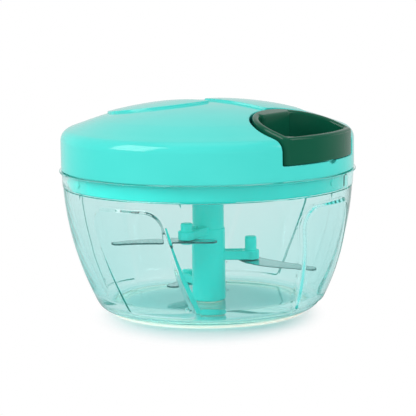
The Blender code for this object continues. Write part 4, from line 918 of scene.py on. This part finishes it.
def grip_relief(inward, seen, form):
    """How far the wall is pushed out at a distance inside a grip's outline: a step, then its flat.

    A form that leans has no depth at the grip's left side and its whole depth at the right.
    """
    def rise(x):
        soft = (x + GRIP_SOFTNESS) ** 2 / (4 * GRIP_SOFTNESS)
        return np.where(x < -GRIP_SOFTNESS, 0.0, np.where(x > GRIP_SOFTNESS, x, soft))

    slope, top_depth, foot_depth, lean = form
    foot, top = GRIP_CORNERS[0][1], GRIP_CORNERS[2][1]
    left, right = GRIP_CORNERS[3][0], GRIP_CORNERS[1][0]
    share = np.clip((seen[:, 1] - foot) / (top - foot), 0.0, 1.0)
    across = np.clip((seen[:, 0] - left) / (right - left), 0.0, 1.0)
    depth = (foot_depth + (top_depth - foot_depth) * share) * (1.0 - lean * (1.0 - across))
    return slope * (rise(inward) - rise(inward - depth / slope))


def bowl_sector(line, form):
    """A quarter of the bowl's wall, turned from a profile, with one grip pushed outwards."""
    runs = runs_along(line)
    half = math.radians(45.0) * FLAT_RADIUS
    outline = resampled(rounded(GRIP_CORNERS, closed=True, count=8))

    def profile(run):
        run = np.clip(run, 0.0, runs[-1])
        return np.interp(run, runs, line[:, 0]), np.interp(run, runs, line[:, 1])

    def seen_flat(flat):
        r, z = profile(flat[:, 1])
        return np.column_stack([r * np.sin(flat[:, 0] / FLAT_RADIUS), z])

    def placed(flat):
        r, z = profile(flat[:, 1])
        seen = seen_flat(flat)
        relief = grip_relief(depth_inside(seen, outline), seen, form)
        slope_r, slope_z = np.array(profile(flat[:, 1] + 0.05)) - profile(flat[:, 1] - 0.05)
        up = np.hypot(slope_r, slope_z)
        return raised(polar(r + relief * slope_z / up, flat[:, 0] / FLAT_RADIUS),
                      z - relief * slope_r / up)

    def flattened(seen):
        run = np.interp(seen[:, 1], line[:, 1], runs)
        turn = np.arcsin(np.clip(seen[:, 0] / profile(run)[0], -1.0, 1.0))
        return np.column_stack([turn * FLAT_RADIUS, run])

    sideways = np.linspace(-half, half, COLUMNS // GRIP_COUNT + 1)
    levels = np.concatenate([np.linspace(0.0, 7.5, 9), np.linspace(9.5, runs[-1], 20)])
    right = np.column_stack([np.full(len(levels), half), levels])[1:-1]
    border = np.vstack([raised(sideways[:, None], 0.0), right,
                        raised(sideways[::-1, None], runs[-1]), right[::-1] * [-1.0, 1.0]])
    grid = np.array([(x, y) for y in levels[1:-1] for x in sideways[3:-3:3]])
    deep = depth_inside(seen_flat(grid), outline)
    widest = max(form[1:3]) / form[0] + GRIP_SOFTNESS
    grid = grid[(deep < -1.2) | (deep > widest + 0.8)]
    w = GRIP_SOFTNESS
    depths = np.concatenate([(-0.8, -w, -w / 2, 0.0, w / 2), np.arange(w, widest + 0.3, 0.3)])
    rows = [flattened(offset(outline, -depth)) for depth in depths]
    flat, faces = triangulated(border, [], [grid, *rows])
    return placed(flat), faces, surface_normals(placed, flat, 0.03)


def spun(points, degrees):
    turn = np.array(Matrix.Rotation(math.radians(degrees), 3, "Z"))
    return points @ turn.T


def collar_inside(start):
    """The collar's inner wall with the bayonet's open entries and locking grooves."""
    turns = start + np.arange(COLUMNS) * 360.0 / COLUMNS
    spacing = 360.0 / BAYONET_COUNT
    away = (turns - BAYONET_FIRST + spacing / 2) % spacing - spacing / 2
    rows = []
    for height in (BOWL_SHOULDER[1], BAYONET_LOW - 0.5, BAYONET_LOW + 0.1, TAB_MIDDLE,
                   BAYONET_TOP - 0.3, BAYONET_TOP + 0.1, BOWL_RIM - 0.25, BOWL_RIM):
        entry = (np.abs(away) < BAYONET_HALF) & (height > BAYONET_LOW)
        groove = (away > -BAYONET_HALF - BAYONET_TURN) & (away < 0.0)
        groove &= BAYONET_LOW < height < BAYONET_TOP
        rows.append(raised(polar(COLLAR_INNER + BAYONET_DEPTH * (entry | groove), np.radians(turns)), height))
    return np.concatenate(rows), facing(grid_faces(len(rows), COLUMNS, closed=True), True)


def make_bowl():
    shape = Shape()
    start = GRIP_FIRST - 45.0
    inner = bowl_line(BOWL_WALL)
    thicker = WALL_EXTRA * np.clip((BOWL_SHOULDER[1] - inner[:, 1]) / BOWL_SHOULDER[1], 0.0, 1.0)
    inner[:, 0] -= thicker * np.clip((inner[:, 1] - FLOOR_TOP) / CORNER_RADIUS, 0.0, 1.0)
    wall_top = bowl_line(0.0)[:, 1].max()
    for line, form, side in ((bowl_line(0.0), GRIP_OUTSIDE, 1), (inner, GRIP_INSIDE, -1)):
        points, faces, normals = bowl_sector(line, form)
        for index in range(GRIP_COUNT):
            turn = GRIP_FIRST + 360.0 / GRIP_COUNT * index
            shape.add(spun(points, turn), faces[:, ::side], spun(normals * side, turn))
    lip_foot = (COLLAR_RIM_RADIUS, BOWL_RIM - LIP_HEIGHT)
    rim_edge = (COLLAR_INNER + BAYONET_DEPTH + 0.3, BOWL_RIM)
    groove = [(BOWL_SHOULDER[0], wall_top), (BOWL_SHOULDER[0] - GROOVE, wall_top + 0.2),
              (COLLAR_LOW_RADIUS, wall_top + 0.5), lip_foot]
    lip = rounded(((*lip_foot, 0.0), (LIP_RADIUS, BOWL_RIM - LIP_HEIGHT, 0.2),
                   (LIP_RADIUS, BOWL_RIM, 0.2), (*rim_edge, 0.0)))
    floor = [tuple(inner[0]), (30.0, FLOOR_TOP), (15.0, FLOOR_TOP), (PIN_HOLE, FLOOR_TOP)]
    hole = [(PIN_HOLE, FLOOR_TOP), (PIN_HOLE, FLOOR_UNDERSIDE), (0.0, FLOOR_UNDERSIDE)]
    boss_low = FLOOR_UNDERSIDE - BOSS_DROP
    under = rounded(((0.0, boss_low, 0.0), (BOSS_RADIUS, boss_low, 0.3),
                     (BOSS_RADIUS, FLOOR_UNDERSIDE, 0.2), (FOOT_INNER, FLOOR_UNDERSIDE, 0.3),
                     (FOOT_INNER, 0.0, 0.4), (FOOT_OUTER, 0.0, 0.4), (FOOT_OUTER, FLOOR_UNDERSIDE, 0.05),
                     (CORNER_CENTRE[0], FLOOR_UNDERSIDE, 0.0)), count=3)
    shape.spin(groove[:2], groove[1:3], groove[2:], lip, [(COLLAR_INNER, BOWL_SHOULDER[1]), tuple(inner[-1])],
               floor, hole[:2], hole[1:], under, columns=COLUMNS, start=start)
    inner_points, inner_faces = collar_inside(start)
    rim = turned([rim_edge], COLUMNS, start)[0]
    shape.add(np.vstack([rim, inner_points[-COLUMNS:]]), grid_faces(2, COLUMNS, closed=True))
    shape.add(inner_points, inner_faces)
    shape.make("clear_bowl", CLEAR, "bowl_body", "bowl")


# The lid's base, the blade shaft and the blades

def make_lid_base():
    shape = Shape()
    low = LID_LOW + GAP
    inner = SKIRT_RADIUS - SKIRT_WALL
    outline = ((FLANGE_RADIUS, FLANGE_TOP, 0.3), (FLANGE_RADIUS, low, 0.2), (SKIRT_RADIUS, low, 0.2),
               (SKIRT_RADIUS, SKIRT_LOW, 0.5), (inner, SKIRT_LOW, 0.5), (inner, PLATE_LOW, 0.4),
               (HUB_OUTER, PLATE_LOW, 1.0), (HUB_OUTER, HUB_LOW, 0.5), (HUB_INNER, HUB_LOW, 0.4),
               (HUB_INNER, PLATE_TOP, 0.3), (inner, PLATE_TOP, 0.4), (inner, FLANGE_TOP, 0.3))
    line = rounded(outline, closed=True, count=4)[::-1]
    shape.spin(line + line[:1], columns=240)
    points, faces = oval_tab()
    for index in range(BAYONET_COUNT):
        shape.add(spun(points, BAYONET_FIRST + 360.0 / BAYONET_COUNT * index), faces)
    # The skirt takes the aqua painted lighter for the shade it sits in
    shape.make("lid_skirt", INNER_AQUA_PAINTED_LIGHT, "lid_body", "lid_base")


def oval_tab():
    """A bayonet tab on the skirt, an oval button with a rounded edge, at angle 0."""
    count = 40
    rows = []
    for share, proud in ((1.0, -0.6), (1.0, TAB_PROUD - 0.35), (0.96, TAB_PROUD - 0.12),
                         (0.86, TAB_PROUD), (0.0, TAB_PROUD)):
        oval = polar(share, full_turn(count)) * [TAB_HALF_WIDTH, TAB_HALF_HEIGHT] + [0.0, TAB_MIDDLE]
        rows.append(np.column_stack([np.full(count, SKIRT_RADIUS + proud), oval]))
    return np.concatenate(rows), grid_faces(len(rows), count, closed=True)


def box_part(low, high, turn):
    """A block with small chamfers, turned about the axis."""
    (x0, y0, z0), (x1, y1, z1) = low, high
    chamfer = min(0.4, (np.array(high) - np.array(low)).min() / 4)
    rows = []
    for inset, z in ((chamfer, z0), (0.0, z0 + chamfer), (0.0, z1 - chamfer), (chamfer, z1)):
        rows += [(x0, y0 + inset, z), (x1, y0 + inset, z), (x1, y1 - inset, z), (x0, y1 - inset, z)]
    faces = grid_faces(4, 4, closed=True) + [(3, 2, 1, 0), (12, 13, 14, 15)]
    return spun(np.array(rows), turn), faces


def flat_shaded(shape, points, faces):
    for face in faces:
        shape.add(points[list(face)], [tuple(range(len(face)))])


def make_shaft():
    shape = Shape()
    body = rounded(((0.0, TUBE_TOP, 0.0), (TUBE_RADIUS, TUBE_TOP, 0.5), (TUBE_RADIUS, SLEEVE_TOP + 0.4, 0.3),
                    (SLEEVE_RADIUS, SLEEVE_TOP, 0.3), (SLEEVE_RADIUS, SHAFT_LOW, 0.8),
                    (3.4, SHAFT_LOW, 0.3), (2.8, SHAFT_LOW, 0.0)), count=5)
    shape.spin(body[::-1], columns=96)
    flat_shaded(shape, *turned([(HEX_RADIUS, TUBE_TOP - 1.0), (HEX_RADIUS, HEX_TOP - 0.6),
                                (HEX_RADIUS - 0.5, HEX_TOP), (0.0, HEX_TOP)], 6))
    for index, level in enumerate(BLADE_LEVELS):
        arm(shape, level, FIRST_ARM + ARM_STEP * index, PEG_HEIGHTS[index])
    # The shaft takes the aqua painted lighter for the shade it sits in
    shape.make("blade_spindle", INNER_AQUA_PAINTED_LIGHT, "blade_body", "blade_shaft")


def arm(shape, level, turn, peg_height):
    """Two bars out to a pad with the blade's rivet under it and a guard peg on it."""
    low = level + BLADE_THICKNESS + GAP
    high = low + ARM_THICKNESS
    for middle in (-ARM_SPREAD, ARM_SPREAD):
        flat_shaded(shape, *box_part((4.5, middle - ARM_BAR / 2, low),
                                     (PEG_DISTANCE, middle + ARM_BAR / 2, high), turn))
    spot = (PEG_DISTANCE * math.cos(math.radians(turn)), PEG_DISTANCE * math.sin(math.radians(turn)))
    top = level + peg_height
    under = level - GAP
    line = rounded(((0.0, top, 0.0), (PEG_RADIUS, top, 0.7), (PEG_RADIUS, high, 0.4),
                    (PAD_RADIUS, high, 0.4), (PAD_RADIUS, low, 0.3), (1.5, low, 0.1), (1.5, under, 0.1),
                    (2.7, under, 0.15), (2.7, under - 0.7, 0.3), (0.0, under - 0.7, 0.0)), count=4)
    shape.spin(line[::-1], columns=40, centre=spot)


def blade_line():
    """Points and headings along the blade's middle, from tail to tip, for an arm along +X."""
    run = np.linspace(0.0, BLADE_TAIL + BLADE_REACH, BLADE_STEPS + 1)
    bend = np.maximum(0.0, (run - BLADE_TAIL) / BLADE_REACH)
    headings = np.radians(BLADE_START + (BLADE_END - BLADE_START) * bend)
    tail = [PEG_DISTANCE, 0.0] - polar(BLADE_TAIL, headings[:1])
    return np.cumsum(np.vstack([tail, polar(run[1], headings[:-1])]), axis=0), headings


def blade_outline():
    """The blade's outline, which starts with its cutting edge from tail to tip."""
    spots, headings = blade_line()
    share = np.linspace(0.0, 1.0, len(spots))
    end_width = np.where(share < 0.5, BLADE_TAIL_WIDTH, BLADE_TIP_WIDTH)
    half = (end_width + (BLADE_MIDDLE_WIDTH - end_width) * np.sin(np.pi * share)) / 2
    left = np.column_stack([-np.sin(headings), np.cos(headings)]) * half[:, None]
    tip_turn, tail_turn = math.degrees(headings[-1]), math.degrees(headings[0])
    tip = arc(spots[-1], BLADE_TIP_WIDTH / 2, tip_turn - 90.0, tip_turn + 90.0, 12)[1:-1]
    tail = arc(spots[0], BLADE_TAIL_WIDTH / 2, tail_turn + 90.0, tail_turn + 270.0, 12)[1:-1]
    return np.vstack([spots - left, tip, (spots + left)[::-1], tail])


def make_blade(name, level, turn, swing):
    """A curved blade, ground thin along its convex edge."""
    shape = Shape()
    peg = np.array([PEG_DISTANCE, 0.0])
    outline = (blade_outline() - peg) @ flat_turn(swing).T + peg
    cutting = outline[:BLADE_STEPS + 1]
    count = len(outline)
    rows = []
    for width in (EDGE_LINE, GRIND_WIDTH):
        row = offset(outline, -width)
        rows.append(row[depth_inside(row, outline) > 0.9 * width])
    flat, faces = triangulated(outline, [], rows)
    share = np.clip(nearest(flat, cutting[6:-1], cutting[7:]) / GRIND_WIDTH, 0.0, 1.0)
    thick = BLADE_EDGE + (BLADE_THICKNESS - BLADE_EDGE) * share
    middle = level + BLADE_THICKNESS / 2
    top = spun(raised(flat, middle + thick / 2), turn)
    under = spun(raised(flat, middle - thick / 2), turn)
    shape.add(top, faces)
    shape.add(under, faces[:, ::-1])
    wall = np.vstack([top[:count], under[:count]])
    shape.add(wall, facing(grid_faces(2, count, closed=True), True))

    # Faces within EDGE_LINE of the outline take the painted dark edge shade
    def in_painted_edge_shade(centres):
        return depth_inside(spun(centres, -turn)[:, :2], outline) < EDGE_LINE

    shape.make(name + "_ground", BLADE_STEEL, "blade_body", name,
               also=(EDGE_SHADE_STEEL, in_painted_edge_shade))


# The cord

def tube(points):
    """The cord along points."""
    line = np.asarray(points, float)
    along = np.gradient(line, axis=0)
    along /= np.linalg.norm(along, axis=1, keepdims=True)
    side = np.cross(along, [0.0, 0.0, 1.0])
    side /= np.linalg.norm(side, axis=1, keepdims=True)
    up = np.cross(side, along)
    turns = full_turn(CORD_SIDES)
    rows = [spot + CORD_RADIUS * (np.outer(np.cos(turns), across) + np.outer(np.sin(turns), above))
            for spot, across, above in zip(line, side, up)]
    last = (len(line) - 1) * CORD_SIDES
    ends = [tuple(range(CORD_SIDES))[::-1], tuple(range(last, last + CORD_SIDES))]
    return np.concatenate(rows), grid_faces(len(line), CORD_SIDES, closed=True) + ends


def make_cord(name, points, body, replaced):
    shape = Shape()
    shape.add(*tube(points))
    return shape.make(name, CORD_FIBRE, body, replaced)


def make_cords():
    leave = math.acos(WINDING_RADIUS / CORD_BEND[0])
    back = np.arange(round(CORD_TURNS * CORD_STEPS), -1, -1) / CORD_STEPS
    spots = raised(polar(WINDING_RADIUS, leave + math.tau * back), CORD_LEVEL - CORD_PITCH * back)
    way = np.array([math.sin(leave), -math.cos(leave), 0.0])
    make_cord("cord_wound", [*spots, spots[-1] + way * REEL_SHARE_END], "reel_body", "cord_winding")
    bend = np.array(CORD_BEND)
    before = bend - way * 2.0
    after = bend + [2.0, 0.0, 0.0]
    curve = [before * (1 - share) ** 2 + bend * 2 * share * (1 - share) + after * share ** 2
             for share in np.linspace(0.0, 1.0, 9)]
    route = [spots[-1] + way * LID_SHARE_START, *curve, (POCKET_END, 0.0, CORD_LEVEL)]
    make_cord("cord_stretch", route, "lid_body", "cord_run")
    make_lead()


def make_lead():
    """The cord from the pocket's wall to the knot, straight and on no body; on the real chopper it stays in
    the guide and stretches out when pulled.
    """
    near = POCKET_END - 0.2
    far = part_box("cord_lead")[1].x / MM
    line = [(x, 0.0, CORD_LEVEL) for x in np.linspace(near, far, 40)]
    piece = make_cord("cord_to_handle", line, None, "cord_lead")
    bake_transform(piece)


# Stage

def make_camera():
    lens = bpy.data.cameras.new("camera")
    lens.sensor_width = SENSOR
    lens.lens = CAMERA_FOCAL_PIXELS * SENSOR / PHOTO_PIXELS
    lens.clip_start = 0.05
    camera = new_object("camera", lens)
    place = (*(TOWARDS_CAMERA * CAMERA_DISTANCE * MM)[:2], CAMERA_HEIGHT * MM)
    look = (Matrix.Rotation(CAMERA_TURN, 4, "Z") @ Matrix.Rotation(math.radians(90.0 - CAMERA_PITCH), 4, "X")
            @ Matrix.Rotation(math.radians(CAMERA_ROLL), 4, "Z"))
    camera.matrix_world = Matrix.Translation(place) @ look
    bpy.context.scene.camera = camera


def mirrored_brightness(tree, direction):
    """Brightness of the studio in reflections: dark on the camera's side and pale behind."""
    side = node(tree, "VectorMath", operation="DOT_PRODUCT", Vector=direction)
    side.inputs[1].default_value = TOWARDS_CAMERA
    return mapped(tree, side.outputs["Value"], (-0.75, 0.05), (STUDIO_PALE, STUDIO_DARK))


def make_world():
    """A white studio, with its camera side dark in reflections, and a plain soft light."""
    world = bpy.data.worlds.new("studio")
    bpy.context.scene.world = world
    world.use_nodes = True
    tree = world.node_tree
    tree.nodes.clear()
    path = node(tree, "LightPath")
    place = node(tree, "TexCoord")
    plain = node(tree, "Background", Color=(0.97, 0.99, 1.0, 1.0), Strength=STUDIO_LIGHT)
    white = node(tree, "Background", Color=(1.0, 1.0, 1.0, 1.0), Strength=1.0)
    mirrored = node(tree, "Background", Color=(1.0, 1.0, 1.0, 1.0),
                    Strength=mirrored_brightness(tree, place.outputs["Generated"]))
    seen = node(tree, "Math", operation="ADD", use_clamp=True, Value=path.outputs["Is Camera Ray"])
    tree.links.new(path.outputs["Is Transmission Ray"], seen.inputs[1])
    glossy = mixed_shader(tree, path.outputs["Is Glossy Ray"], plain.outputs["Background"],
                          mirrored.outputs["Background"])
    node(tree, "OutputWorld",
         Surface=mixed_shader(tree, seen.outputs["Value"], glossy, white.outputs["Background"]))


def make_floor():
    """A pale floor that keeps the object's shadow and fades into the white backdrop."""
    size = 3.0
    mesh = bpy.data.meshes.new("floor")
    mesh.from_pydata([(-size, -size, 0.0), (size, -size, 0.0), (size, size, 0.0), (-size, size, 0.0)],
                     [], [(0, 1, 2, 3)])
    floor = new_object("floor", mesh)
    floor.location = (0.0, 0.0, -0.0002)
    made, tree, shader = new_material("floor_paper")
    fill(tree, shader, Base_Color=(0.90, 0.91, 0.92, 1.0), Roughness=0.6, Specular_IOR_Level=0.2)
    place = node(tree, "TexCoord").outputs["Object"]
    path = node(tree, "LightPath")
    only_mirrored = node(tree, "Math", operation="SUBTRACT", use_clamp=True,
                         Value=path.outputs["Is Glossy Ray"])
    tree.links.new(path.outputs["Is Transmission Ray"], only_mirrored.inputs[1])
    outwards = node(tree, "VectorMath", operation="NORMALIZE", Vector=place)
    glow = node(tree, "Mix", Factor=only_mirrored.outputs["Value"], A=1.0,
                B=mirrored_brightness(tree, outwards.outputs["Vector"]))
    white = node(tree, "Emission", Color=(1.0, 1.0, 1.0, 1.0), Strength=glow.outputs["Result"])
    way = node(tree, "Mapping", vector_type="TEXTURE", Vector=place,
               Location=TOWARDS_CAMERA * SHADOW_SHIFT * MM, Rotation=(0.0, 0.0, CAMERA_TURN),
               Scale=(1.0, SHADOW_STRETCH, 1.0))
    away = node(tree, "VectorMath", operation="LENGTH", Vector=way.outputs["Vector"])
    fade = mapped(tree, away.outputs["Value"], (SHADOW_START * MM, SHADOW_END * MM), (0.0, 1.0),
                  interpolation_type="SMOOTHSTEP")
    fill(tree, tree.nodes["Material Output"],
         Surface=mixed_shader(tree, fade, shader.outputs["BSDF"], white.outputs["Emission"]))
    mesh.materials.append(made)


def soft_box(name, sideways, height, size, glow):
    """A soft light at angles to the camera's side and above the ground, with a given brightness."""
    turn = CAMERA_TURN + math.radians(sideways - 90.0)
    rise = math.radians(height)
    place = Vector((math.cos(turn) * math.cos(rise), math.sin(turn) * math.cos(rise), math.sin(rise)))
    lamp = bpy.data.lights.new(name, "AREA")
    lamp.shape = "RECTANGLE"
    lamp.size, lamp.size_y = size
    lamp.energy = glow * math.pi * size[0] * size[1]
    box = new_object(name, lamp)
    box.location = place * LIGHT_DISTANCE + Vector((0.0, 0.0, 0.05))
    box.rotation_euler = place.to_track_quat("Z", "Y").to_euler()
    return box


def make_lights():
    """Two soft boxes at the sides, one above, and one in front that no surface mirrors."""
    soft_box("left_box", -64.0, 37.0, (0.50, 0.62), 4.2)
    soft_box("right_box", 72.0, 28.0, (0.30, 0.50), 2.5)
    soft_box("top_box", 0.0, 88.0, (0.60, 0.60), 0.5)
    front = soft_box("front_fill", 25.0, 6.0, (0.50, 0.30), 2.3)
    front.visible_glossy = False
    front.visible_transmission = False


bpy.context.scene.view_settings.view_transform = "Standard"
bpy.context.scene.cycles.max_bounces = LIGHT_BOUNCES
bpy.context.scene.cycles.transmission_bounces = LIGHT_BOUNCES
bpy.context.scene.cycles.glossy_bounces = LIGHT_BOUNCES
make_camera()
make_world()
make_floor()
make_lights()
finish_nodes()
make_lid()
make_handle()
make_bowl()
make_lid_base()
make_shaft()
for number, node_name in enumerate(BLADE_NODES):
    make_blade(node_name, BLADE_LEVELS[number], FIRST_ARM + ARM_STEP * number, BLADE_SWINGS[number])
make_cords()
